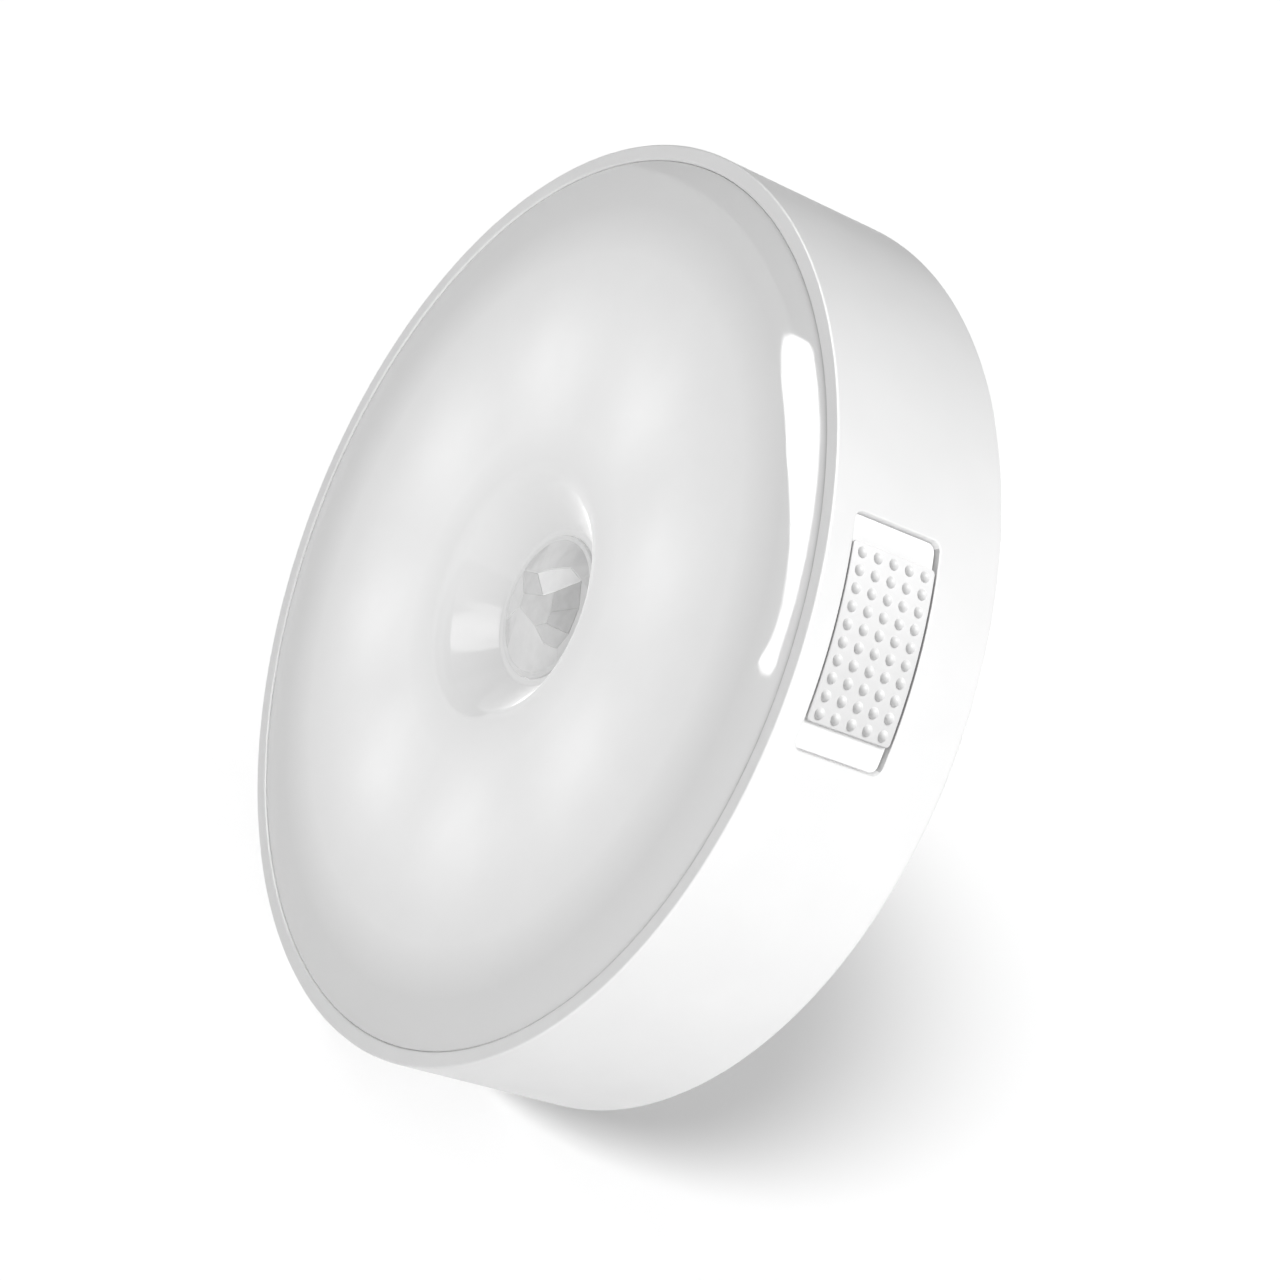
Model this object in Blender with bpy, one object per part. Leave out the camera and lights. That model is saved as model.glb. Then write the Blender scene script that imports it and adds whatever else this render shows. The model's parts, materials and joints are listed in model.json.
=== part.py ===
import math

import bmesh
import bpy
from mathutils import Matrix, Vector

# Driving sizes, in metres. The light is modelled lying on its back, front up,
# and an empty turns it to hang on a wall with the front towards -Y.
outer_radius = 0.040
rim_depth = 0.0174
wall_thickness = 0.0022
floor_thickness = 0.0016
clearance = 0.0003
lip_width = 0.0014
lip_edge_round = 0.0002
back_edge_round = 0.0006
seat_depth = 0.0021
join_overlap = 0.0005
cut_margin = 0.002
merge_distance = 0.000001

# Diffuser cover
crest_height = 0.00105
crest_radius = 0.0225
crown_curve_radius = 0.150
shoulder_radius_start = 0.0345
edge_drop = 0.00043
edge_round = 0.00025
cover_thickness = 0.0015
skirt_width = 0.0018
skirt_root_share = 0.25
funnel_mouth_radius = 0.0116
funnel_lip_round = 0.0010
funnel_floor_drop = 0.0033
funnel_foot_width = 0.0006
lens_hole_radius = 0.0063

# Snap hooks under the cover and the catches on the wall
hook_width = 0.0050
hook_thickness = 0.0012
catch_reach = 0.0009
catch_height = 0.0012
catch_drop = 0.0018
barb_height = 0.0010

# Motion sensor
lens_flange_width = 0.0015
lens_flange_thickness = 0.0008
lens_step = 0.0002
lens_rise = 0.0013
lens_skin = 0.0009
lens_middle_radius_share = 0.74
lens_middle_rise_share = 0.66
lens_top_radius_share = 0.40
lens_hollow_share = 0.62
shroud_thickness = 0.0016
sensor_radius = 0.0041
sensor_flange_width = 0.0006
sensor_flange_thickness = 0.0006
sensor_height_share = 0.75
sensor_window_width = 0.0044
sensor_window_share = 0.8
sensor_window_depth = 0.0003
sensor_edge_round = 0.0003

# Board and its parts
board_edge_gap = 0.0013
board_thickness = 0.0014
led_circle_share = 0.548
led_length = 0.0035
led_width = 0.0028
led_height = 0.0009
led_border = 0.0005
led_recess = 0.0002
screw_edge_gap = 0.0055
screw_radius = 0.0009
screw_head_radius = 0.0019
screw_head_height = 0.0012
screw_head_round = 0.0005
screw_length = 0.0044
screw_tip_length = 0.0008
screw_slot_width = 0.0005
screw_slot_length = 0.0024
screw_slot_depth = 0.0006
post_radius = 0.0029
controller_length = 0.0060
controller_width = 0.0040
controller_height = 0.0015
controller_edge_gap = 0.0100
charger_side = 0.0030
charger_height = 0.0011
charger_port_gap = 0.0044
capacitor_radius = 0.0025
capacitor_height = 0.0050
capacitor_groove = 0.0002
groove_low_share = 0.14
groove_middle_share = 0.18
groove_high_share = 0.22
capacitor_edge_gap = 0.0095
daylight_radius = 0.0015
daylight_height = 0.0012
daylight_base_width = 0.0036
daylight_base_height = 0.0008
daylight_shroud_gap = 0.0042

# Battery, its pad and its leads
battery_length = 0.0360
battery_width = 0.0300
battery_thickness = 0.0030
battery_edge_round = 0.0009
pad_length = 0.0300
pad_width = 0.0240
pad_thickness = 0.0006
stop_length = 0.0070
stop_thickness = 0.0011
stop_height = 0.0024
stop_offset = 0.0100
lead_radius = 0.00045
lead_spread = 0.0030
lead_reach = 0.0032
lead_entry_share = 0.38
lead_pull_share = 0.6

# Magnets in the back
magnet_radius = 0.0050
magnet_thickness = 0.0020
magnet_inset = 0.0001
magnet_battery_gap = 0.0005
magnet_edge_round = 0.0003
magnet_boss_wall = 0.0012

# Charging port and its indicator
port_width = 0.00894
port_height = 0.00326
port_wall = 0.0003
port_length = 0.0073
port_setback = 0.0008
tongue_width = 0.0067
tongue_thickness = 0.0007
tongue_length = 0.0052
tongue_root_length = 0.0010
indicator_length = 0.0016
indicator_width = 0.0012
indicator_height = 0.0007
indicator_offset = 0.0082
indicator_edge_gap = 0.0021
pipe_radius = 0.0009
pipe_setback = 0.0001

# Switch on the side wall
switch_turn = math.radians(30.0)
slider_drop = 0.00655
slider_length = 0.0141
slider_width = 0.0083
slider_thickness = 0.0007
slider_corner = 0.0004
slide_travel = 0.0020
pocket_depth = 0.0010
pocket_side_gap = 0.00015
pocket_corner = 0.0005
bump_radius = 0.00043
bump_height = 0.00030
bump_sink = 0.0002
bump_pitch_along = 0.00139
bump_pitch_across = 0.00158
stem_length = 0.0040
stem_width = 0.0024
stem_lift = 0.0005
stem_barb_length = 0.0009
stem_barb_width = 0.0008
stem_reach = 0.0041
knob_length = 0.0013
knob_width = 0.0014
knob_depth = 0.0012
knob_entry = 0.0010
switch_length = 0.0090
switch_depth = 0.0034
switch_skin = 0.0012

# Counts and angles
round_steps = 72
tube_steps = 48
fine_steps = 32
small_steps = 16
end_steps = 8
bump_steps = 8
led_count = 8
led_turn = math.radians(37.4)
hook_turns = [math.radians(90.0), math.radians(210.0), math.radians(330.0)]
screw_turns = [math.radians(0.0), math.radians(120.0), math.radians(240.0)]
magnet_turns = [math.radians(90.0), math.radians(270.0)]
controller_turn = math.radians(172.0)
charger_turn = math.radians(262.0)
capacitor_turn = math.radians(106.0)
daylight_turn = math.radians(330.0)
port_turn = math.radians(270.0)
bump_side_turn = math.radians(45.0)
half_turn = math.pi
quarter_turn = math.pi / 2
full_turn = 2 * math.pi
smooth_angle = math.radians(35.0)
bump_columns = 5
bump_rows = 10
facets = 6
arc_steps = 5
edge_steps = 2
crown_steps = 5
shoulder_steps = 6
bevel_segments = 2

# Depths from the back plane, stacked from the floor up
pad_bottom = floor_thickness + clearance
battery_bottom = pad_bottom + pad_thickness + clearance
battery_top = battery_bottom + battery_thickness
board_bottom = battery_top + clearance
board_top = board_bottom + board_thickness
mounted_base = board_top + clearance

# Depths and radii of the front
wall_inner_radius = outer_radius - wall_thickness
cover_radius = outer_radius - lip_width - clearance
seat_level = rim_depth - seat_depth
skirt_bottom = seat_level + clearance
funnel_floor = rim_depth - funnel_floor_drop
funnel_foot_radius = lens_hole_radius + funnel_foot_width
cover_underside = funnel_floor - cover_thickness
board_radius = wall_inner_radius - board_edge_gap
led_circle_radius = board_radius * led_circle_share
screw_circle_radius = board_radius - screw_edge_gap
controller_place = board_radius - controller_edge_gap
capacitor_place = board_radius - capacitor_edge_gap
port_back = outer_radius - port_setback - port_length
charger_place = port_back - charger_port_gap
magnet_well_radius = magnet_radius + clearance
magnet_boss_radius = magnet_well_radius + magnet_boss_wall
magnet_place = battery_width / 2 + magnet_boss_radius + magnet_battery_gap

# Depths of the sensor stack between the board and the cover
lens_flange_top = cover_underside - clearance
lens_flange_bottom = lens_flange_top - lens_flange_thickness
shroud_top = lens_flange_bottom - clearance
shroud_height = shroud_top - mounted_base
lens_radius = lens_hole_radius - clearance
lens_flange_radius = lens_hole_radius + lens_flange_width
sensor_top = mounted_base + shroud_height * sensor_height_share
daylight_place = lens_flange_radius + daylight_shroud_gap

# Depths of the switch and the port
slider_level = rim_depth - slider_drop
pocket_radius = outer_radius - pocket_depth
stem_level = slider_level - stem_lift
port_level = mounted_base + port_height / 2
indicator_level = mounted_base + indicator_height / 2


def clear_scene():
    for obj in list(bpy.data.objects):
        bpy.data.objects.remove(obj, do_unlink=True)


def material(name, colour, roughness, metallic=0.0):
    made = bpy.data.materials.new(name)
    made.use_nodes = True
    shader = made.node_tree.nodes["Principled BSDF"]
    shader.inputs["Base Color"].default_value = (*colour, 1.0)
    shader.inputs["Roughness"].default_value = roughness
    shader.inputs["Metallic"].default_value = metallic
    made.diffuse_color = (*colour, 1.0)
    return made


def polar(radius, turn, level=0.0):
    return Vector((radius * math.cos(turn), radius * math.sin(turn), level))


def spin(bm, profile, steps, closed=True):
    """Turns a profile of (radius, level) points about the Z axis into a solid."""
    made = [bm.verts.new((radius, 0.0, level)) for radius, level in profile]
    pairs = list(zip(made, made[1:]))
    if closed:
        pairs.append((made[-1], made[0]))
    edges = [bm.edges.new(pair) for pair in pairs]
    bmesh.ops.spin(
        bm,
        geom=made + edges,
        axis=(0.0, 0.0, 1.0),
        cent=(0.0, 0.0, 0.0),
        dvec=(0.0, 0.0, 0.0),
        angle=full_turn,
        steps=steps,
        use_merge=True,
        use_duplicate=False,
    )
    bmesh.ops.remove_doubles(bm, verts=bm.verts[:], dist=merge_distance)


def box(bm, centre, size, turn=0.0):
    """Adds a box whose X side points along the given turn from the axis."""
    made = bmesh.ops.create_cube(bm, size=1.0)["verts"]
    place = Matrix.Translation(centre) @ Matrix.Rotation(turn, 4, "Z")
    bmesh.ops.transform(bm, matrix=place @ Matrix.Diagonal((*size, 1.0)), verts=made)


def cylinder(bm, centre, radius, bottom, top, steps):
    made = bmesh.ops.create_cone(
        bm, cap_ends=True, segments=steps, radius1=radius, radius2=radius, depth=top - bottom
    )["verts"]
    middle = Vector((centre[0], centre[1], (bottom + top) / 2))
    bmesh.ops.translate(bm, vec=middle, verts=made)


def rod(bm, radius, start, end, level, across, steps):
    """Adds a round rod along X, from start to end, at the given level."""
    made = bmesh.ops.create_cone(
        bm, cap_ends=True, segments=steps, radius1=radius, radius2=radius, depth=end - start
    )["verts"]
    place = Matrix.Translation(((start + end) / 2, across, level)) @ Matrix.Rotation(quarter_turn, 4, "Y")
    bmesh.ops.transform(bm, matrix=place, verts=made)


def stadium(bm, width, height, start, end, level, steps):
    """Adds a bar along X with a stadium section, wider across than it is high."""
    radius = height / 2
    flat = width / 2 - radius
    outline = []
    for side in (1, -1):
        for step in range(steps + 1):
            turn = quarter_turn - half_turn * step / steps
            outline.append((side * (flat + radius * math.cos(turn)), side * radius * math.sin(turn)))
    near = [bm.verts.new((start, across, level + up)) for across, up in outline]
    far = [bm.verts.new((end, across, level + up)) for across, up in outline]
    bm.faces.new(near)
    bm.faces.new(far[::-1])
    for first in range(len(outline)):
        second = (first + 1) % len(outline)
        bm.faces.new((near[first], far[first], far[second], near[second]))


def curved_block(bm, inner, outer, along, across, corner, level, steps):
    """Adds a block that follows the side wall, centred on +X, with rounded corners."""
    half_along = along / 2
    half_across = across / 2
    stations = []
    for step in range(arc_steps + 1):
        turn = quarter_turn * step / arc_steps
        inset = corner * math.sin(turn)
        stations.append((half_along - inset, half_across - corner + inset))
    flat = stations[-1][0]
    middle = [flat * (1 - 2 * step / steps) for step in range(1, steps)]
    left = [(-place, half) for place, half in reversed(stations)]
    columns = stations + [(place, half_across) for place in middle] + left
    rows = []
    for place, half in columns:
        turn = place / outer_radius
        rows.append(
            [
                bm.verts.new(polar(inner, turn, level - half)),
                bm.verts.new(polar(inner, turn, level + half)),
                bm.verts.new(polar(outer, turn, level + half)),
                bm.verts.new(polar(outer, turn, level - half)),
            ]
        )
    bm.faces.new(rows[0])
    bm.faces.new(rows[-1][::-1])
    for first, second in zip(rows, rows[1:]):
        for corner_index in range(len(first)):
            following = (corner_index + 1) % len(first)
            bm.faces.new(
                (first[corner_index], second[corner_index], second[following], first[following])
            )


def finish(name, bm, look=None, turn=0.0, centre=(0.0, 0.0, 0.0), cutter=False):
    """Makes the object of a bmesh and puts it in the tree of the light."""
    bmesh.ops.recalc_face_normals(bm, faces=bm.faces[:])
    mesh = bpy.data.meshes.new(name)
    bm.to_mesh(mesh)
    bm.free()
    return put(name, mesh, look, turn, centre, cutter)


def put(name, mesh, look=None, turn=0.0, centre=(0.0, 0.0, 0.0), cutter=False):
    obj = bpy.data.objects.new(name, mesh)
    bpy.context.scene.collection.objects.link(obj)
    obj.parent = light_frame
    obj.location = centre
    obj.rotation_euler = (0.0, 0.0, turn)
    if cutter:
        obj.hide_render = True
        obj.display_type = "WIRE"
        return obj
    if not mesh.materials:
        mesh.materials.append(look)
    mesh.shade_smooth()
    mesh.set_sharp_from_angle(angle=smooth_angle)
    return obj


def boolean(obj, other, operation):
    modifier = obj.modifiers.new(operation.lower(), "BOOLEAN")
    modifier.operation = operation
    modifier.solver = "EXACT"
    modifier.object = other


def soften(obj, width):
    modifier = obj.modifiers.new("soft_edges", "BEVEL")
    modifier.width = width
    modifier.segments = bevel_segments
    modifier.limit_method = "ANGLE"
    modifier.angle_limit = smooth_angle


def arc(centre, radius, start, end, steps):
    """Points of (radius, level) on an arc, angles measured from outwards towards the front."""
    points = []
    for step in range(steps + 1):
        turn = start + (end - start) * step / steps
        points.append((centre[0] + radius * math.cos(turn), centre[1] + radius * math.sin(turn)))
    return points


def crown(radius):
    """Level of the outside of the cover between the funnel and the shoulder."""
    return rim_depth + crest_height - (radius - crest_radius) ** 2 / (2 * crown_curve_radius)


def crown_slope(radius):
    return -(radius - crest_radius) / crown_curve_radius


def housing():
    """White cup: flat back, side wall with the lip, posts, catches, switch and port openings."""
    lip_inner = outer_radius - lip_width
    back_hub = (outer_radius - back_edge_round, back_edge_round)
    outer_hub = (outer_radius - lip_edge_round, rim_depth - lip_edge_round)
    inner_hub = (lip_inner + lip_edge_round, rim_depth - lip_edge_round)
    profile = [(0.0, 0.0)]
    profile += arc(back_hub, back_edge_round, -quarter_turn, 0.0, arc_steps)
    profile += arc(outer_hub, lip_edge_round, 0.0, quarter_turn, edge_steps)
    profile += arc(inner_hub, lip_edge_round, quarter_turn, half_turn, edge_steps)
    profile += [
        (lip_inner, seat_level),
        (wall_inner_radius, seat_level),
        (wall_inner_radius, floor_thickness),
        (0.0, floor_thickness),
    ]
    bm = bmesh.new()
    spin(bm, profile, round_steps, closed=False)
    cup = finish("housing", bm, white_shell)

    added = bmesh.new()
    root = floor_thickness - join_overlap
    post_top = board_bottom - clearance
    for turn in screw_turns:
        cylinder(added, polar(screw_circle_radius, turn), post_radius, root, post_top, fine_steps)
    boss_top = magnet_inset + magnet_thickness + clearance + magnet_boss_wall
    for turn in magnet_turns:
        cylinder(added, polar(magnet_place, turn), magnet_boss_radius, root, boss_top, fine_steps)
    stop_place = battery_length / 2 + clearance + stop_thickness / 2
    stop_level = (root + floor_thickness + stop_height) / 2
    for side in (1, -1):
        for end in (1, -1):
            box(
                added,
                Vector((side * stop_place, end * stop_offset, stop_level)),
                (stop_thickness, stop_length, floor_thickness + stop_height - root),
            )
    catch_bottom = seat_level - catch_drop - catch_height
    for turn in hook_turns:
        depth = catch_reach + join_overlap * 2
        centre = polar(wall_inner_radius - catch_reach + depth / 2, turn, catch_bottom + catch_height / 2)
        box(added, centre, (depth, hook_width, catch_height), turn)
    boolean(cup, finish("housing_added", added, cutter=True), "UNION")

    cut = bmesh.new()
    for turn in screw_turns:
        cylinder(
            cut,
            polar(screw_circle_radius, turn),
            screw_radius + clearance,
            floor_thickness,
            board_bottom + cut_margin,
            small_steps,
        )
    well_top = magnet_inset + magnet_thickness + clearance
    for turn in magnet_turns:
        cylinder(cut, polar(magnet_place, turn), magnet_well_radius, -cut_margin, well_top, fine_steps)
    boolean(cup, finish("housing_cut", cut, cutter=True), "DIFFERENCE")

    pocket = bmesh.new()
    along = slider_length + 2 * (slide_travel + clearance)
    across = slider_width + 2 * pocket_side_gap
    reach = outer_radius + cut_margin
    curved_block(pocket, pocket_radius, reach, along, across, pocket_corner, slider_level, small_steps)
    boolean(cup, finish("switch_pocket", pocket, turn=switch_turn, cutter=True), "DIFFERENCE")

    slot = bmesh.new()
    slot_length = stem_length + 2 * (slide_travel + clearance)
    slot_depth = 2 * wall_thickness + cut_margin
    slot_centre = Vector((wall_inner_radius, 0.0, stem_level))
    box(slot, slot_centre, (slot_depth, slot_length, stem_width + 2 * clearance))
    boolean(cup, finish("switch_slot", slot, turn=switch_turn, cutter=True), "DIFFERENCE")

    window = bmesh.new()
    stadium(
        window,
        port_width + 2 * clearance,
        port_height + 2 * clearance,
        wall_inner_radius - cut_margin,
        outer_radius + cut_margin,
        port_level,
        end_steps,
    )
    rod(
        window,
        pipe_radius + clearance,
        wall_inner_radius - cut_margin,
        outer_radius + cut_margin,
        mounted_base + pipe_radius,
        indicator_offset,
        small_steps,
    )
    boolean(cup, finish("port_window", window, turn=port_turn, cutter=True), "DIFFERENCE")


def funnel_line(foot, centre, radius):
    """Angle at which a line from the foot touches the rounded mouth of the funnel."""
    reach = math.dist(foot, centre)
    base = math.atan2(foot[1] - centre[1], foot[0] - centre[0])
    return base - math.acos(radius / reach)


def diffuser():
    """Frosted cover: low dome, rounded mouth, funnel down to the lens hole, skirt and snap hooks."""
    slope = crown_slope(funnel_mouth_radius)
    normal = math.atan2(1.0, -slope)
    mouth = (
        funnel_mouth_radius - funnel_lip_round * math.cos(normal),
        crown(funnel_mouth_radius) - funnel_lip_round * math.sin(normal),
    )
    foot = (funnel_foot_radius, funnel_floor)
    touch = funnel_line(foot, mouth, funnel_lip_round) % full_turn

    start = (shoulder_radius_start, crown(shoulder_radius_start))
    edge = (cover_radius, rim_depth - edge_drop)
    heading = math.atan(crown_slope(shoulder_radius_start))
    chord = math.atan2(edge[1] - start[1], edge[0] - start[0])
    bend = heading - chord
    curve = math.dist(start, edge) / (2 * math.sin(bend))
    hub = (start[0] + curve * math.sin(heading), start[1] - curve * math.cos(heading))
    first = heading + quarter_turn
    shoulder = arc(hub, curve, first, first - 2 * bend, shoulder_steps)

    profile = [(lens_hole_radius, cover_underside), (lens_hole_radius, funnel_floor), foot]
    profile += arc(mouth, funnel_lip_round, touch, normal, arc_steps)
    span = shoulder_radius_start - funnel_mouth_radius
    for step in range(1, crown_steps):
        radius = funnel_mouth_radius + span * step / crown_steps
        profile.append((radius, crown(radius)))
    profile += shoulder[:-1]
    last = shoulder[-2]
    back = edge_round / math.dist(last, edge)
    profile.append((edge[0] - back * (edge[0] - last[0]), edge[1] + back * (last[1] - edge[1])))
    profile.append((cover_radius, edge[1] - edge_round))
    profile.append((cover_radius, skirt_bottom))
    skirt_inner = cover_radius - skirt_width
    profile.append((skirt_inner, skirt_bottom))
    root_level = skirt_bottom + (edge[1] - skirt_bottom) * skirt_root_share
    profile.append((skirt_inner, root_level))
    under = crown(funnel_mouth_radius) - cover_thickness
    lean = touch - quarter_turn
    back_foot = (foot[0] + cover_thickness / math.sin(lean), cover_underside)
    turn_radius = back_foot[0] + (under - cover_underside) / math.tan(lean)
    span = shoulder_radius_start - turn_radius
    for step in range(crown_steps, 0, -1):
        radius = turn_radius + span * step / crown_steps
        profile.append((radius, crown(radius) - cover_thickness))
    profile.append((turn_radius, under))
    profile.append((foot[0] + clearance * 2, cover_underside))
    bm = bmesh.new()
    spin(bm, profile, round_steps)
    cover = finish("diffuser_cover", bm, frosted)

    hooks = bmesh.new()
    catch_bottom = seat_level - catch_drop - catch_height
    barb_top = catch_bottom - clearance
    barb_bottom = barb_top - barb_height
    arm_outer = wall_inner_radius - catch_reach - clearance
    arm_inner = arm_outer - hook_thickness
    arm_top = rim_depth - edge_drop - clearance
    barb_outer = wall_inner_radius - clearance
    for turn in hook_turns:
        box(
            hooks,
            polar((arm_inner + arm_outer) / 2, turn, (barb_bottom + arm_top) / 2),
            (hook_thickness, hook_width, arm_top - barb_bottom),
            turn,
        )
    arms = finish("hook_arms", hooks, cutter=True)
    boolean(cover, arms, "UNION")
    barbs = bmesh.new()
    narrow = hook_width - 2 * join_overlap
    for turn in hook_turns:
        box(
            barbs,
            polar((arm_inner + join_overlap + barb_outer) / 2, turn, (barb_bottom + barb_top) / 2),
            (barb_outer - arm_inner - join_overlap, narrow, barb_top - barb_bottom - clearance),
            turn,
        )
    boolean(cover, finish("hook_barbs", barbs, cutter=True), "UNION")


def lens():
    """Lens of the motion sensor: flange under the cover, round step and a faceted dome."""
    step_level = funnel_floor + lens_step
    profile = [
        (0.0, lens_flange_bottom),
        (lens_flange_radius, lens_flange_bottom),
        (lens_flange_radius, lens_flange_top),
        (lens_radius, lens_flange_top),
        (lens_radius, step_level),
        (0.0, step_level),
    ]
    bm = bmesh.new()
    spin(bm, profile, tube_steps, closed=False)
    body = finish("pir_lens", bm, lens_plastic)

    dome = bmesh.new()
    base_radius = lens_radius - lens_step
    rings = [
        (base_radius, -lens_flange_thickness, 2 * facets),
        (base_radius, lens_step, 2 * facets),
        (base_radius * lens_middle_radius_share, lens_rise * lens_middle_rise_share, facets),
        (base_radius * lens_top_radius_share, lens_rise, facets),
    ]
    for radius, rise, count in rings:
        for index in range(count):
            dome.verts.new(polar(radius, full_turn * index / count, step_level + rise))
    bmesh.ops.convex_hull(dome, input=dome.verts[:])
    boolean(body, finish("lens_facets", dome, cutter=True), "UNION")

    hollow = bmesh.new()
    inner = lens_radius - lens_skin
    hollow_profile = [
        (0.0, lens_flange_bottom - cut_margin),
        (inner, lens_flange_bottom - cut_margin),
        (inner, step_level - lens_skin),
        (inner * lens_hollow_share, step_level + lens_rise * lens_middle_rise_share - lens_skin),
        (0.0, step_level + lens_rise * lens_middle_rise_share - lens_skin),
    ]
    spin(hollow, hollow_profile, fine_steps, closed=False)
    boolean(body, finish("lens_hollow", hollow, cutter=True), "DIFFERENCE")


def shroud():
    """Tube on the board that carries the lens and keeps stray light off the sensor."""
    outer = lens_flange_radius
    inner = outer - shroud_thickness
    bm = bmesh.new()
    spin(
        bm,
        [(inner, mounted_base), (outer, mounted_base), (outer, shroud_top), (inner, shroud_top)],
        tube_steps,
    )
    finish("sensor_shroud", bm, dark_plastic)


def sensor():
    """Round metal can with a square window in its top."""
    flange = sensor_radius + sensor_flange_width
    step = mounted_base + sensor_flange_thickness
    profile = [(0.0, mounted_base), (flange, mounted_base), (flange, step), (sensor_radius, step)]
    hub = (sensor_radius - sensor_edge_round, sensor_top - sensor_edge_round)
    profile += arc(hub, sensor_edge_round, 0.0, quarter_turn, edge_steps)
    profile.append((0.0, sensor_top))
    bm = bmesh.new()
    spin(bm, profile, fine_steps, closed=False)
    can = finish("pir_sensor", bm, can_metal)
    recess = bmesh.new()
    box(
        recess,
        Vector((0.0, 0.0, sensor_top)),
        (sensor_window_width, sensor_window_width * sensor_window_share, 2 * sensor_window_depth),
    )
    boolean(can, finish("sensor_window", recess, cutter=True), "DIFFERENCE")


def board():
    """Round printed board that carries the lights, the sensor and the switch."""
    bm = bmesh.new()
    cylinder(bm, (0.0, 0.0), board_radius, board_bottom, board_top, round_steps)
    plate = finish("light_board", bm, board_white)
    cut = bmesh.new()
    for turn in screw_turns:
        cylinder(
            cut,
            polar(screw_circle_radius, turn),
            screw_radius + clearance,
            board_bottom - cut_margin,
            board_top + cut_margin,
            small_steps,
        )
    boolean(plate, finish("board_holes", cut, cutter=True), "DIFFERENCE")


def leds():
    """Eight lights in a ring, each with a shallow square well for the phosphor."""
    bm = bmesh.new()
    box(bm, Vector((0.0, 0.0, led_height / 2)), (led_length, led_width, led_height))
    bm.faces.ensure_lookup_table()
    top = max(bm.faces, key=lambda face: face.calc_center_median().z)
    bmesh.ops.inset_region(bm, faces=[top], thickness=led_border)
    bmesh.ops.translate(bm, vec=(0.0, 0.0, -led_recess), verts=top.verts[:])
    bmesh.ops.recalc_face_normals(bm, faces=bm.faces[:])
    mesh = bpy.data.meshes.new("led")
    bm.to_mesh(mesh)
    bm.free()
    mesh.materials.append(led_yellow)
    for index in range(led_count):
        turn = led_turn + full_turn * index / led_count
        put("led_" + str(index + 1), mesh, turn=turn, centre=polar(led_circle_radius, turn, mounted_base))


def screws():
    """Three slotted screws that hold the board on the posts."""
    head_base = board_top + clearance
    head_top = head_base + screw_head_height
    tip = head_base - screw_length
    profile = [
        (0.0, tip - head_base),
        (screw_radius / 2, tip - head_base),
        (screw_radius, tip + screw_tip_length - head_base),
        (screw_radius, 0.0),
        (screw_head_radius, 0.0),
    ]
    profile += arc(
        (screw_head_radius - screw_head_round, screw_head_height - screw_head_round),
        screw_head_round,
        0.0,
        quarter_turn,
        edge_steps,
    )
    profile.append((0.0, screw_head_height))
    bm = bmesh.new()
    spin(bm, profile, small_steps, closed=False)
    bmesh.ops.recalc_face_normals(bm, faces=bm.faces[:])
    mesh = bpy.data.meshes.new("screw")
    bm.to_mesh(mesh)
    bm.free()
    mesh.materials.append(screw_steel)
    slot = bmesh.new()
    box(slot, Vector((0.0, 0.0, 0.0)), (screw_slot_length, screw_slot_width, 2 * screw_slot_depth))
    slot_mesh = bpy.data.meshes.new("screw_slot")
    slot.to_mesh(slot_mesh)
    slot.free()
    for index, turn in enumerate(screw_turns):
        number = str(index + 1)
        foot = polar(screw_circle_radius, turn, head_base)
        top = polar(screw_circle_radius, turn, head_top)
        made = put("board_screw_" + number, mesh, turn=turn, centre=foot)
        cutter = put("slot_" + number, slot_mesh, turn=turn, centre=top, cutter=True)
        boolean(made, cutter, "DIFFERENCE")


def block(name, look, size, turn, distance, bottom, round_width=0.0):
    """A box-shaped piece at a distance from the axis, its X side pointing outwards."""
    bm = bmesh.new()
    box(bm, Vector((0.0, 0.0, size[2] / 2)), size)
    made = finish(name, bm, look, turn, polar(distance, turn, bottom))
    if round_width:
        soften(made, round_width)
    return made


def electronics():
    block(
        "controller_chip",
        dark_plastic,
        (controller_width, controller_length, controller_height),
        controller_turn,
        controller_place,
        mounted_base,
        led_recess,
    )
    block(
        "charger_chip",
        dark_plastic,
        (charger_side, charger_side, charger_height),
        charger_turn,
        charger_place,
        mounted_base,
        led_recess,
    )
    rim = capacitor_radius
    groove = rim - capacitor_groove
    profile = [
        (0.0, 0.0),
        (groove, 0.0),
        (rim, capacitor_groove),
        (rim, capacitor_height * groove_low_share),
        (groove, capacitor_height * groove_middle_share),
        (rim, capacitor_height * groove_high_share),
        (rim, capacitor_height - capacitor_groove),
        (groove, capacitor_height),
        (0.0, capacitor_height),
    ]
    bm = bmesh.new()
    spin(bm, profile, small_steps, closed=False)
    finish("filter_capacitor", bm, can_metal, centre=polar(capacitor_place, capacitor_turn, mounted_base))

    bm = bmesh.new()
    base = daylight_base_height
    profile = [(0.0, base - join_overlap), (daylight_radius, base - join_overlap), (daylight_radius, base)]
    profile += [
        (daylight_radius * math.cos(turn), base + daylight_height * math.sin(turn))
        for turn in (quarter_turn * step / arc_steps for step in range(1, arc_steps))
    ]
    profile.append((0.0, base + daylight_height))
    spin(bm, profile, small_steps, closed=False)
    place = polar(daylight_place, daylight_turn, mounted_base)
    dome = finish("daylight_dome", bm, turn=daylight_turn, centre=place, cutter=True)
    eye = block(
        "daylight_sensor",
        clear_plastic,
        (daylight_base_width, daylight_base_width, base),
        daylight_turn,
        daylight_place,
        mounted_base,
    )
    boolean(eye, dome, "UNION")


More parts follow.
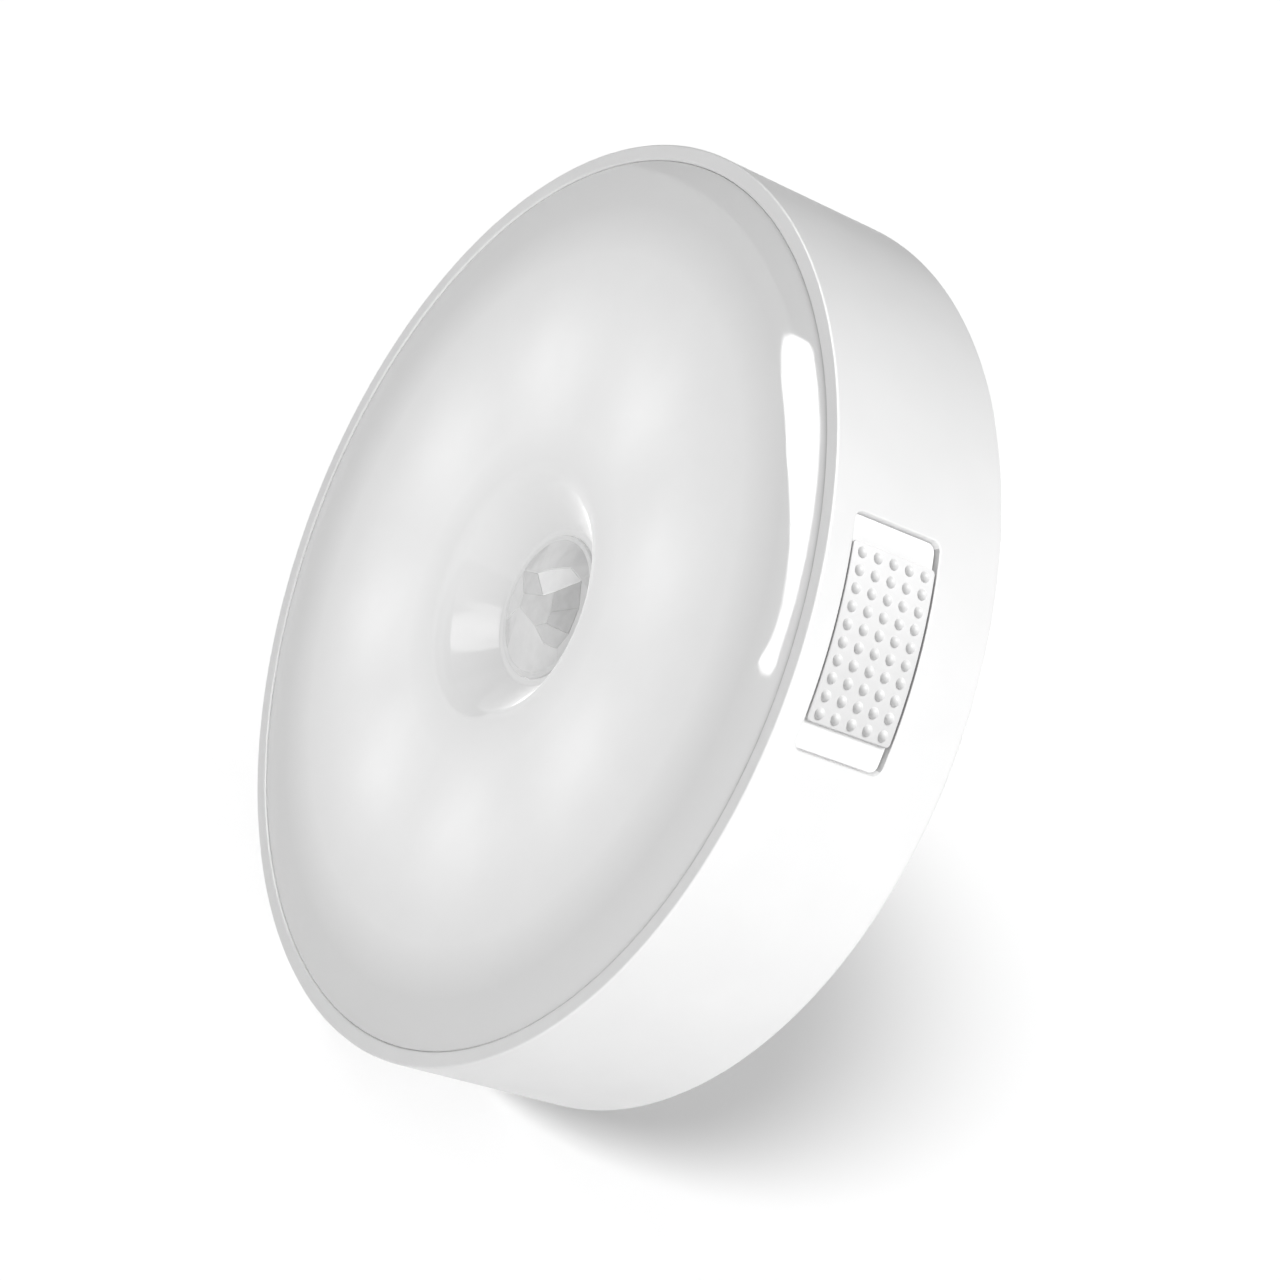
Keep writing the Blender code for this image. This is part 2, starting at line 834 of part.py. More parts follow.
def battery():
    """Flat cell on a foam pad, with its two leads up to the board."""
    bm = bmesh.new()
    middle = Vector((0.0, 0.0, (battery_bottom + battery_top) / 2))
    box(bm, middle, (battery_length, battery_width, battery_thickness))
    cell = finish("battery_cell", bm, cell_foil)
    soften(cell, battery_edge_round)
    bm = bmesh.new()
    box(bm, Vector((0.0, 0.0, pad_bottom + pad_thickness / 2)), (pad_length, pad_width, pad_thickness))
    finish("battery_pad", bm, foam)
    entry = battery_length / 2 + clearance
    low = battery_bottom + battery_thickness * lead_entry_share
    high = board_bottom - clearance
    leads = (("battery_lead_positive", 1, red_wire), ("battery_lead_negative", -1, black_wire))
    for name, side, look in leads:
        path = bpy.data.curves.new(name, "CURVE")
        path.dimensions = "3D"
        path.bevel_depth = lead_radius
        path.bevel_resolution = edge_steps
        path.resolution_u = end_steps
        path.use_fill_caps = True
        line = path.splines.new("BEZIER")
        line.bezier_points.add(1)
        leaving = Vector((lead_pull_share * lead_reach, 0.0, 0.0))
        rising = Vector((0.0, 0.0, lead_pull_share * (high - low)))
        ends = ((entry, low, leaving), (entry + lead_reach, high, rising))
        for point, (along, level, pull) in zip(line.bezier_points, ends):
            point.handle_left_type = "FREE"
            point.handle_right_type = "FREE"
            point.co = (along, side * lead_spread, level)
            point.handle_right = point.co + pull
            point.handle_left = point.co - pull
        obj = bpy.data.objects.new(name, path)
        bpy.context.scene.collection.objects.link(obj)
        obj.parent = light_frame
        path.materials.append(look)


def magnets():
    round_radius = magnet_radius - magnet_edge_round
    top_level = magnet_thickness - magnet_edge_round
    profile = [(0.0, 0.0)]
    profile += arc((round_radius, magnet_edge_round), magnet_edge_round, -quarter_turn, 0.0, edge_steps)
    profile += arc((round_radius, top_level), magnet_edge_round, 0.0, quarter_turn, edge_steps)
    profile.append((0.0, magnet_thickness))
    bm = bmesh.new()
    spin(bm, profile, fine_steps, closed=False)
    bmesh.ops.recalc_face_normals(bm, faces=bm.faces[:])
    mesh = bpy.data.meshes.new("magnet")
    bm.to_mesh(mesh)
    bm.free()
    mesh.materials.append(magnet_nickel)
    for name, turn in zip(("magnet_upper", "magnet_lower"), magnet_turns):
        put(name, mesh, centre=polar(magnet_place, turn, magnet_inset))


def port():
    """Charging port on the board edge behind the wall, its tongue, and the charge indicator."""
    mouth = outer_radius - port_setback
    bm = bmesh.new()
    stadium(bm, port_width, port_height, port_back, mouth, port_level, end_steps)
    shell = finish("charging_port", bm, port_steel, turn=port_turn)
    cavity = bmesh.new()
    stadium(
        cavity,
        port_width - 2 * port_wall,
        port_height - 2 * port_wall,
        port_back + port_wall,
        mouth + cut_margin,
        port_level,
        end_steps,
    )
    boolean(shell, finish("port_cavity", cavity, turn=port_turn, cutter=True), "DIFFERENCE")

    inner = port_back + port_wall + clearance
    root_height = port_height - 2 * port_wall - 2 * clearance
    bm = bmesh.new()
    box(
        bm,
        Vector((inner + tongue_root_length / 2, 0.0, port_level)),
        (tongue_root_length, tongue_width, root_height),
    )
    tongue = finish("port_tongue", bm, dark_plastic, turn=port_turn)
    blade = bmesh.new()
    start = inner + tongue_root_length / 2
    box(
        blade,
        Vector((start + tongue_length / 2, 0.0, port_level)),
        (tongue_length, tongue_width - 2 * join_overlap, tongue_thickness),
    )
    boolean(tongue, finish("tongue_blade", blade, turn=port_turn, cutter=True), "UNION")

    pipe_level = mounted_base + pipe_radius
    side = math.sqrt(outer_radius**2 - (indicator_offset + pipe_radius) ** 2)
    end = side - pipe_setback
    lamp_out = board_radius - indicator_edge_gap
    bm = bmesh.new()
    box(
        bm,
        Vector((lamp_out - indicator_width / 2, indicator_offset, indicator_level)),
        (indicator_width, indicator_length, indicator_height),
    )
    finish("charge_indicator", bm, led_white, turn=port_turn)
    bm = bmesh.new()
    rod(bm, pipe_radius, lamp_out + clearance, end, pipe_level, indicator_offset, small_steps)
    finish("indicator_pipe", bm, clear_plastic, turn=port_turn)


def switch():
    """Thumb slider in the wall, the switch on the board and the knob that joins them."""
    plate_inner = outer_radius - slider_thickness
    bm = bmesh.new()
    curved_block(
        bm,
        plate_inner,
        outer_radius,
        slider_length,
        slider_width,
        slider_corner,
        slider_level,
        small_steps,
    )
    bmesh.ops.translate(bm, vec=(-outer_radius, 0.0, -slider_level), verts=bm.verts[:])
    centre = polar(outer_radius, switch_turn, slider_level)
    slider = finish("switch_slider", bm, slider_white, switch_turn, centre)

    bumps = bmesh.new()
    for row in range(bump_rows):
        along = (row - (bump_rows - 1) / 2) * bump_pitch_along
        turn = along / outer_radius
        for column in range(bump_columns):
            up = (column - (bump_columns - 1) / 2) * bump_pitch_across
            point = bmesh.new()
            profile = [(0.0, -bump_sink), (bump_radius, -bump_sink), (bump_radius, 0.0)]
            profile.append((bump_radius * math.cos(bump_side_turn), bump_height * math.sin(bump_side_turn)))
            profile.append((0.0, bump_height))
            spin(point, profile, bump_steps, closed=False)
            place = (
                Matrix.Translation((-outer_radius, 0.0, up))
                @ Matrix.Rotation(turn, 4, "Z")
                @ Matrix.Translation((outer_radius, 0.0, 0.0))
                @ Matrix.Rotation(quarter_turn, 4, "Y")
            )
            bmesh.ops.transform(point, matrix=place, verts=point.verts[:])
            small = bpy.data.meshes.new("bump")
            point.to_mesh(small)
            point.free()
            bumps.from_mesh(small)
    boolean(slider, finish("slider_bumps", bumps, turn=switch_turn, centre=centre, cutter=True), "UNION")

    stem = bmesh.new()
    stem_start = -slider_thickness - stem_reach
    stem_end = -slider_thickness / 2
    lift = -stem_lift
    box(
        stem,
        Vector(((stem_start + stem_end) / 2, 0.0, lift)),
        (stem_end - stem_start, stem_length, stem_width),
    )
    boolean(slider, finish("slider_stem", stem, turn=switch_turn, centre=centre, cutter=True), "UNION")
    barbs = bmesh.new()
    barb_outer = -wall_thickness - 2 * clearance
    box(
        barbs,
        Vector((barb_outer - stem_barb_length / 2, 0.0, lift)),
        (stem_barb_length, stem_length - 2 * clearance, stem_width + 2 * stem_barb_width),
    )
    boolean(slider, finish("slider_barbs", barbs, turn=switch_turn, centre=centre, cutter=True), "UNION")
    fork = bmesh.new()
    box(
        fork,
        Vector((stem_start, 0.0, lift)),
        (2 * (knob_entry + clearance), knob_length + 2 * clearance, stem_width + cut_margin),
    )
    boolean(slider, finish("slider_fork", fork, turn=switch_turn, centre=centre, cutter=True), "DIFFERENCE")

    face = outer_radius + stem_start - clearance
    body_bottom = mounted_base
    body_top = stem_level + knob_width / 2 + clearance + switch_skin
    bm = bmesh.new()
    box(
        bm,
        Vector((face - switch_depth / 2, 0.0, (body_bottom + body_top) / 2)),
        (switch_depth, switch_length, body_top - body_bottom),
    )
    body = finish("switch_body", bm, port_steel, turn=switch_turn)
    channel = bmesh.new()
    channel_half = knob_depth + 2 * clearance
    box(
        channel,
        Vector((face, 0.0, stem_level)),
        (2 * channel_half, knob_length + 2 * (slide_travel + clearance), knob_width + 2 * clearance),
    )
    boolean(body, finish("switch_channel", channel, turn=switch_turn, cutter=True), "DIFFERENCE")

    bm = bmesh.new()
    knob_end = stem_start + knob_entry
    knob_start = stem_start - clearance - knob_depth - clearance
    box(
        bm,
        Vector(((knob_start + knob_end) / 2, 0.0, lift)),
        (knob_end - knob_start, knob_length, knob_width),
    )
    finish("switch_actuator", bm, dark_plastic, switch_turn, centre)


clear_scene()
light_frame = bpy.data.objects.new("light_frame", None)
bpy.context.scene.collection.objects.link(light_frame)
light_frame.rotation_euler = (quarter_turn, 0.0, 0.0)

white_shell = material("white_shell", (0.86, 0.86, 0.86), 0.38)
slider_white = material("slider_white", (0.87, 0.87, 0.87), 0.42)
frosted = material("frosted", (0.83, 0.83, 0.83), 0.22)
lens_plastic = material("lens_plastic", (0.78, 0.78, 0.78), 0.30)
dark_plastic = material("dark_plastic", (0.03, 0.03, 0.03), 0.50)
can_metal = material("can_metal", (0.68, 0.67, 0.64), 0.30, 1.0)
board_white = material("board_white", (0.80, 0.81, 0.80), 0.45)
led_yellow = material("led_yellow", (0.90, 0.80, 0.38), 0.40)
led_white = material("led_white", (0.88, 0.87, 0.80), 0.40)
screw_steel = material("screw_steel", (0.55, 0.55, 0.56), 0.32, 1.0)
cell_foil = material("cell_foil", (0.62, 0.63, 0.66), 0.35, 0.9)
foam = material("foam", (0.10, 0.10, 0.11), 0.95)
red_wire = material("red_wire", (0.55, 0.03, 0.02), 0.45)
black_wire = material("black_wire", (0.02, 0.02, 0.02), 0.45)
magnet_nickel = material("magnet_nickel", (0.66, 0.64, 0.60), 0.22, 1.0)
port_steel = material("port_steel", (0.60, 0.60, 0.61), 0.28, 1.0)
clear_plastic = material("clear_plastic", (0.82, 0.84, 0.86), 0.12)

housing()
diffuser()
lens()
shroud()
sensor()
board()
leds()
screws()
electronics()
battery()
magnets()
port()
switch()
bpy.context.view_layer.update()
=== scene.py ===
import json
from math import acos, asin, atan, atan2, cos, dist, hypot, pi, radians, sin, sqrt, tan

import bmesh
import bpy
from mathutils import Matrix, Vector


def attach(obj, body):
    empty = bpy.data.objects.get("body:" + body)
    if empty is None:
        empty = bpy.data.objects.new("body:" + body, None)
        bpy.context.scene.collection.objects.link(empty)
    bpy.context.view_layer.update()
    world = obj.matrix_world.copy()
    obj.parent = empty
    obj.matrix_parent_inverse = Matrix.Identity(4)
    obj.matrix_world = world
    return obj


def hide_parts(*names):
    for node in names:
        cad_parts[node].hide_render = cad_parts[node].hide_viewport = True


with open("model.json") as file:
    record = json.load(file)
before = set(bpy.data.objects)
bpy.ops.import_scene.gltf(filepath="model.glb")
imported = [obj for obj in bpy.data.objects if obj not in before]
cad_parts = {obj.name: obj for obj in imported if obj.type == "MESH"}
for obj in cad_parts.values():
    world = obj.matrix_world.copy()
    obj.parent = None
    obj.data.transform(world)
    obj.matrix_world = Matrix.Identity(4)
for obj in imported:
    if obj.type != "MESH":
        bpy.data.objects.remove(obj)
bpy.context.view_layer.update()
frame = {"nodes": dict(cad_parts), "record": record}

# Sizes that the finer pieces share with the solids, in metres. They are made
# lying on their back, front up, and then turned so that the front looks to -Y.
outer_radius = 0.040
rim_depth = 0.0174
wall_thickness = 0.0022
floor_thickness = 0.0016
clearance = 0.0003
lip_width = 0.0014
lip_edge_round = 0.0002
back_edge_round = 0.0006
seat_depth = 0.0021
join_overlap = 0.0005
cut_margin = 0.002
merge_distance = 0.000001
seat_fillet = 0.00015
floor_fillet = 0.0003

# Cover
crest_height = 0.00103
crest_radius = 0.0225
crown_curve_radius = 0.150
shoulder_radius_start = 0.0345
edge_drop = 0.00016
edge_round = 0.00008
cover_seam = 0.00002
cover_thickness = 0.0015
skirt_width = 0.0018
skirt_root_share = 0.25
funnel_mouth_radius = 0.0118
funnel_lip_round = 0.0030
funnel_floor_drop = 0.0033
funnel_foot_width = 0.0006
funnel_foot_fillet = 0.0003
lens_hole_radius = 0.0063

# Snap hooks under the cover and the catches on the wall
hook_width = 0.0050
hook_thickness = 0.0012
catch_reach = 0.0009
catch_height = 0.0012
catch_drop = 0.0018
barb_height = 0.0010

# Lens of the motion sensor
lens_flange_width = 0.0015
lens_flange_thickness = 0.0008
lens_step = 0.0002
lens_rise = 0.0013
lens_skin = 0.0009
lens_seam = 0.00003
lens_band = 0.00045
lens_hollow_share = 0.62
lens_ceiling_share = 0.66
lens_edge_round = 0.00010
cell_bevel = 0.00007
cell_lift = 0.00005

# Board, posts, battery stops and magnets
board_edge_gap = 0.0013
screw_edge_gap = 0.0055
screw_radius = 0.0009
post_radius = 0.0029
pad_thickness = 0.0006
battery_length = 0.0360
battery_width = 0.0300
battery_thickness = 0.0030
board_thickness = 0.0014
stop_length = 0.0070
stop_thickness = 0.0011
stop_height = 0.0024
stop_offset = 0.0100
led_circle_share = 0.548
magnet_radius = 0.0050
magnet_thickness = 0.0020
magnet_inset = 0.0001
magnet_battery_gap = 0.0005
magnet_edge_round = 0.0003
magnet_boss_wall = 0.0012
well_mouth_bevel = 0.00015

# Charging port and its indicator
port_width = 0.00894
port_height = 0.00326
port_wall = 0.0003
port_length = 0.0073
port_setback = 0.0008
port_lip_round = 0.00012
window_edge_round = 0.00018
indicator_offset = 0.0082
indicator_edge_gap = 0.0021
pipe_radius = 0.0009
pipe_setback = 0.0001
pipe_end_round = 0.00025

# Switch in the side wall
switch_turn = radians(30.0)
slider_drop = 0.00655
slider_length = 0.0141
slider_width = 0.0083
slider_thickness = 0.00024
slider_corner = 0.0004
slider_edge_round = 0.00012
slide_travel = 0.0020
pocket_depth = 0.0006
pocket_side_gap = 0.00010
# Dark strip along the slider's rear edge: painted shade of the gap there
shade_strip_width = 0.00012
shade_strip_depth = 0.00020
pocket_corner = 0.0008
pocket_edge_round = 0.00012
pocket_groove_width = 0.00012
pocket_groove_depth = 0.00025
pocket_rear_reach = 0.00008
pocket_floor_reach = 0.00007
slot_corner = 0.0002
slot_edge_round = 0.00008
bump_radius = 0.00046
bump_height = 0.00032
bump_sink = 0.0002
bump_pitch_along = 0.00139
bump_pitch_across = 0.00158
stem_length = 0.0040
stem_width = 0.0024
stem_lift = 0.0005
stem_barb_length = 0.0009
stem_barb_width = 0.0008
stem_end_depth = 0.0048
knob_length = 0.0013
knob_entry = 0.0010

# Strips of the wall's grid round its openings, and where the pocket's grid lies inside
pocket_margin = 0.0006
window_margin = 0.0004
pipe_margin = 0.00035
pocket_inner_level = 0.0099
pocket_inner_scale = 0.95
slant_shares = (0.35, 0.7)

# Angles
half_turn = pi
quarter_turn = pi / 2
full_turn = 2 * pi
led_turn = radians(37.4)
led_count = 8
hook_turns = [radians(turn) for turn in (90.0, 210.0, 330.0)]
screw_turns = [radians(turn) for turn in (0.0, 120.0, 240.0)]
magnet_turns = [radians(turn) for turn in (90.0, 270.0)]
port_turn = radians(270.0)
crease_angle = radians(32.0)
column_turn = radians(1.25)
bump_columns = 5
bump_rows = 10
lens_columns = 144

# Facets: round a whole turn, and along the arcs of a profile
cover_steps = 288
disc_steps = 96
boss_steps = 64
post_steps = 48
hole_steps = 32
bump_steps = 20
shoulder_steps = 30
crown_steps = 24
shade_strip_steps = 24
funnel_lip_steps = 14
underside_steps = 10
back_edge_steps = 8
dome_steps = 6
edge_steps = 5
fillet_steps = 4
fine_steps = 3
sleeve_counts = (6, 0, 8)

# Materials: how far noise reaches, and what gloss and tone do with it
noise_low = 0.3
noise_high = 0.7
soft_detail = 2.0
medium_detail = 3.0
fine_detail = 4.0
streak_detail = 5.0
plastic_ior = 1.49
gloss_blotch_share = 1 / 3
plastic_gloss_shares = (0.88, 1.12)
metal_gloss_shares = (0.75, 1.35)
metal_shade = 0.86
metal_blotch = 0.004
# Painted glow: emission that lightens the whole lens
lens_painted_glow = 0.05

# Cover: its tones, with painted shade towards its rim and painted shade and painted glow in the
# funnel, the painted glow of the lights behind it, and its surface
cover_tone = (0.765, 0.765, 0.765)
cover_rim_shade_share = 0.86
rim_shade_start = 0.0300
funnel_shade_share = 0.44
funnel_painted_glow = 0.29
funnel_glow_radius = 0.0100
funnel_blend = 0.0030
glow_spread = 0.0035
spot_glow = 0.07
ring_spread = 0.0075
ring_glow = 0.13
glow_inner_share = 0.4
cloud_size = 0.006
cloud_shares = (0.85, 1.15)
haze_size = 0.0045
haze_share = 0.985
cover_gloss_size = 0.003
cover_gloss_range = (0.055, 0.085)
cover_wave_size = 0.0012
cover_wave_height = 0.0000006

# Levels and radii that follow from the sizes
pad_bottom = floor_thickness + clearance
battery_bottom = pad_bottom + pad_thickness + clearance
board_bottom = battery_bottom + battery_thickness + clearance
mounted_base = board_bottom + board_thickness + clearance
wall_inner_radius = outer_radius - wall_thickness
cover_radius = outer_radius - lip_width - cover_seam
seat_level = rim_depth - seat_depth
skirt_bottom = seat_level + clearance
funnel_floor = rim_depth - funnel_floor_drop
funnel_foot_radius = lens_hole_radius + funnel_foot_width
cover_underside = funnel_floor - cover_thickness
board_radius = wall_inner_radius - board_edge_gap
led_circle_radius = board_radius * led_circle_share
screw_circle_radius = board_radius - screw_edge_gap
magnet_well_radius = magnet_radius + clearance
magnet_boss_radius = magnet_well_radius + magnet_boss_wall
magnet_place = battery_width / 2 + magnet_boss_radius + magnet_battery_gap
lens_flange_top = cover_underside - clearance
lens_flange_bottom = lens_flange_top - lens_flange_thickness
lens_radius = lens_hole_radius - lens_seam
lens_dome_radius = lens_radius - lens_band
lens_flange_radius = lens_hole_radius + lens_flange_width
slider_level = rim_depth - slider_drop
pocket_radius = outer_radius - pocket_depth
port_level = mounted_base + port_height / 2
pipe_level = mounted_base + pipe_radius

front_to_view = Matrix.Rotation(quarter_turn, 4, "X")
switch_centre = Vector(
    (outer_radius * cos(switch_turn), outer_radius * sin(switch_turn), slider_level)
)
switch_frame = Matrix.Translation(switch_centre) @ Matrix.Rotation(switch_turn, 4, "Z")


# Meshes


def polar(radius, turn, level=0.0):
    return Vector((radius * cos(turn), radius * sin(turn), level))


def arc(centre, radius, start, end, steps):
    """Points of (radius, level) on an arc, angles measured from outwards towards the front."""
    turns = [start + (end - start) * step / steps for step in range(steps + 1)]
    return [
        (centre[0] + radius * cos(turn), centre[1] + radius * sin(turn)) for turn in turns
    ]


def ring(bm, places):
    """Points at (radius, turn, level) places."""
    return [bm.verts.new(polar(*place)) for place in places]


def skin(bm, first, second):
    """Faces between two closed rings of points, either of which may be a single point."""
    if len(first) == len(second) == 1:
        return
    count = max(len(first), len(second))
    for index in range(count):
        following = (index + 1) % count
        corners = [first[index % len(first)]]
        if len(first) > 1:
            corners.append(first[following])
        if len(second) > 1:
            corners.append(second[following])
        corners.append(second[index % len(second)])
        bm.faces.new(corners)


def skins(bm, rings):
    """Faces between each ring and the next."""
    for first, second in zip(rings, rings[1:]):
        skin(bm, first, second)


def capped(bm, rings):
    """Closed skin over a row of rings, with a face at either end."""
    skins(bm, rings)
    bm.faces.new(rings[0])
    bm.faces.new(rings[-1][::-1])


def spin(bm, profile, steps, closed=False):
    """Turns a profile of (radius, level) points about the Z axis. Returns its rings."""
    rings = []
    for radius, level in profile:
        if radius < merge_distance:
            rings.append([bm.verts.new((0.0, 0.0, level))])
        else:
            rings.append(ring(bm, [(radius, full_turn * k / steps, level) for k in range(steps)]))
    skins(bm, rings + rings[:1] if closed else rings)
    return rings


def box(bm, centre, size, turn=0.0):
    made = bmesh.ops.create_cube(bm, size=1.0)["verts"]
    where = Matrix.Translation(centre) @ Matrix.Rotation(turn, 4, "Z")
    bmesh.ops.transform(bm, matrix=where @ Matrix.Diagonal((*size, 1.0)), verts=made)


def cylinder(bm, centre, radius, bottom, top, steps):
    made = bmesh.ops.create_cone(
        bm, cap_ends=True, segments=steps, radius1=radius, radius2=radius, depth=top - bottom
    )["verts"]
    middle = Vector((centre[0], centre[1], (bottom + top) / 2))
    bmesh.ops.translate(bm, vec=middle, verts=made)


def add_object(name, data):
    """Puts data in the scene as an object."""
    obj = bpy.data.objects.new(name, data)
    bpy.context.scene.collection.objects.link(obj)
    return obj


def piece(name, bm, matrix=None):
    """Makes the object of a bmesh that was drawn front up."""
    where = front_to_view @ (matrix or Matrix.Identity(4))
    bmesh.ops.recalc_face_normals(bm, faces=bm.faces[:])
    bmesh.ops.transform(bm, matrix=where, verts=bm.verts[:])
    mesh = bpy.data.meshes.new(name)
    bm.to_mesh(mesh)
    bm.free()
    return add_object(name, mesh)


def turned(name, profile, steps, matrix=None, closed=False):
    """Makes the object of a profile that is turned about the Z axis."""
    bm = bmesh.new()
    spin(bm, profile, steps, closed)
    return piece(name, bm, matrix)


def stamp(target, bm, matrix):
    """Adds a small bmesh, moved by matrix, to a larger one."""
    bmesh.ops.transform(bm, matrix=matrix, verts=bm.verts[:])
    mesh = bpy.data.meshes.new("stamp")
    bm.to_mesh(mesh)
    bm.free()
    target.from_mesh(mesh)
    bpy.data.meshes.remove(mesh)


def combine(obj, cutters):
    """Applies Booleans to obj in order. cutters holds (object, operation) pairs."""
    for other, operation in cutters:
        modifier = obj.modifiers.new(operation.lower(), "BOOLEAN")
        modifier.operation = operation
        modifier.solver = "EXACT"
        modifier.object = other
    bpy.context.view_layer.update()
    graph = bpy.context.evaluated_depsgraph_get()
    mesh = bpy.data.meshes.new_from_object(obj.evaluated_get(graph))
    obj.modifiers.clear()
    obj.data = mesh
    for other, _ in cutters:
        bpy.data.objects.remove(other, do_unlink=True)
    return obj


def dress(obj, looks, body, nodes):
    """Shading, materials and the ties to the solids for a finished piece."""
    mesh = obj.data
    tones = [face.material_index for face in mesh.polygons]
    mesh.materials.clear()
    for look in looks:
        mesh.materials.append(look)
    for face, tone_index in zip(mesh.polygons, tones):
        face.material_index = min(tone_index, len(looks) - 1)
    mesh.shade_smooth()
    mesh.set_sharp_from_angle(angle=crease_angle)
    even = obj.modifiers.new("even_normals", "WEIGHTED_NORMAL")
    even.keep_sharp = True
    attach(obj, body)
    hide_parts(*nodes)
    return obj


def contour(half_along, half_across, corner, offset, counts):
    """Points of a rounded rectangle pushed out by offset, in the order of a grid's edge."""
    flats, rises, bends = counts
    reach = corner + offset
    inner = (half_along - corner, half_across - corner)
    sides = (
        ((-1, -1), (1, -1), flats, 225.0),
        ((1, -1), (1, 1), rises, 315.0),
        ((1, 1), (-1, 1), flats, 45.0),
        ((-1, 1), (-1, -1), rises, 135.0),
    )
    points = []

    def add(hub, turn):
        turn = radians(turn)
        points.append((hub[0] + reach * cos(turn), hub[1] + reach * sin(turn)))

    for start, end, count, first in sides:
        start_hub = (start[0] * inner[0], start[1] * inner[1])
        end_hub = (end[0] * inner[0], end[1] * inner[1])
        for step in range(bends):
            add(start_hub, first + 45.0 * step / bends)
        for step in range(count + 1):
            share = step / count if count else 0.0
            hub = [a + (b - a) * share for a, b in zip(start_hub, end_hub)]
            add(hub, first + 45.0)
        for step in range(1, bends):
            add(end_hub, first + 45.0 + 45.0 * step / bends)
    return points


def stations(half, corner, margin, count, bends):
    """Places of grid lines across a rounded rectangle and its margin."""
    end = half + margin
    flat = half - corner
    low = [-end + (end - flat) * step / bends for step in range(bends)]
    middle = [-flat + 2 * flat * (step / count if count else 0.0) for step in range(count + 1)]
    high = [-place for place in reversed(low)]
    return low + middle + high


def rounding(radius, steps):
    """(offset, depth) pairs of an edge rounded from the outer surface down."""
    turns = [quarter_turn * step / steps for step in range(steps + 1)]
    return [(radius - radius * sin(turn), radius - radius * cos(turn)) for turn in turns]


# Openings in the side wall. Each is a rounded rectangle on a grid of its own. The
# counts are grid steps along it, up it and round half a corner.
pocket = {
    "turn": switch_turn,
    "across": 0.0,
    "level": slider_level - shade_strip_width / 2,
    "half": (
        slider_length / 2 + slide_travel + clearance,
        slider_width / 2 + pocket_side_gap + shade_strip_width / 2,
    ),
    "corner": pocket_corner,
    "margin": pocket_margin,
    "counts": (20, 8, 5),
    "curved": True,
    "inner_level": pocket_inner_level,
    "inner_scale": pocket_inner_scale,
}
window = {
    "turn": port_turn,
    "across": 0.0,
    "level": port_level,
    "half": (port_width / 2 + clearance, port_height / 2 + clearance),
    "corner": port_height / 2 + clearance,
    "margin": window_margin,
    "counts": (8, 0, 8),
    "curved": False,
    "inner_level": port_level,
    "inner_scale": 1.0,
}
pipe_hole = dict(
    window,
    across=indicator_offset,
    level=pipe_level,
    half=(pipe_radius + clearance, pipe_radius + clearance),
    corner=pipe_radius + clearance,
    margin=pipe_margin,
    counts=(0, 0, 6),
    inner_level=pipe_level,
)
openings = (pocket, window, pipe_hole)

# Slot through the pocket's floor, and the thumb plate that lies in the pocket
slot = dict(
    pocket,
    level=pocket["level"] - stem_lift,
    half=(stem_length / 2 + slide_travel + clearance, stem_width / 2 + clearance),
    corner=slot_corner,
    curved=False,
)
plate_shape = dict(
    pocket, level=slider_level, half=(slider_length / 2, slider_width / 2), corner=slider_corner
)


def grid_lines(opening):
    """Places of an opening's grid lines along the wall and up it, from its middle."""
    corner, margin = opening["corner"], opening["margin"]
    flats, rises, bends = opening["counts"]
    half_along, half_up = opening["half"]
    return (
        stations(half_along, corner, margin, flats, bends),
        stations(half_up, corner, margin, rises, bends),
    )


def turn_at(opening, along, radius):
    """Turn about the axis of a place beside an opening's middle, on the given radius."""
    if opening["curved"]:
        return opening["turn"] + along / outer_radius
    return opening["turn"] + asin((opening["across"] + along) / radius)


def loop_at(opening, offset, radius):
    """(radius, turn, level) of each point of an opening's outline, pushed out by offset."""
    outline = contour(*opening["half"], opening["corner"], offset, opening["counts"])
    return [
        (radius, turn_at(opening, along, radius), opening["level"] + up) for along, up in outline
    ]


def edge_loops(opening, radius, edge, steps):
    """Outlines down an opening's rounded edge, from the surface at a radius."""
    return [loop_at(opening, offset, radius - depth) for offset, depth in rounding(edge, steps)]


def wall(bm, low, high, turns, radius, inner):
    """Wall between two rings, leaving each opening's grid rectangle free. Returns its edges."""
    edges = []
    sides = {}
    spans = {}
    for opening in openings:
        along, up = grid_lines(opening)
        middle = opening["inner_level"] if inner else opening["level"]
        scale = opening["inner_scale"] if inner else 1.0
        levels = [middle + place * scale for place in up]
        first = opening["first_column"]
        last = first + len(along) - 1
        own = [turns[k % len(turns)] for k in range(first, last + 1)]
        bottom = ring(bm, [(radius, turn, levels[0]) for turn in own])
        top = ring(bm, [(radius, turn, levels[-1]) for turn in own])
        left = ring(bm, [(radius, own[0], level) for level in levels[1:-1]])
        right = ring(bm, [(radius, own[-1], level) for level in levels[1:-1]])
        sides[first] = [bottom[0], *left, top[0]]
        sides[last] = [bottom[-1], *right, top[-1]]
        for index in range(len(own) - 1):
            spans[first + index] = (*bottom[index : index + 2], *top[index : index + 2])
        edges.append(bottom + right + top[::-1] + left[::-1])
    for index in range(len(turns)):
        following = (index + 1) % len(turns)
        if index in spans:
            near, far, near_top, far_top = spans[index]
            bm.faces.new((low[index], low[following], far, near))
            bm.faces.new((near_top, far_top, high[following], high[index]))
            continue
        right = sides.get(following, [])
        left = sides.get(index, [])[::-1]
        bm.faces.new((low[index], low[following], *right, high[following], high[index], *left))
    return edges


def tunnel(bm, start, loops, end):
    """Skin from one edge of grid points through a row of loops to another edge."""
    skins(bm, [start, *[ring(bm, loop) for loop in loops], end])


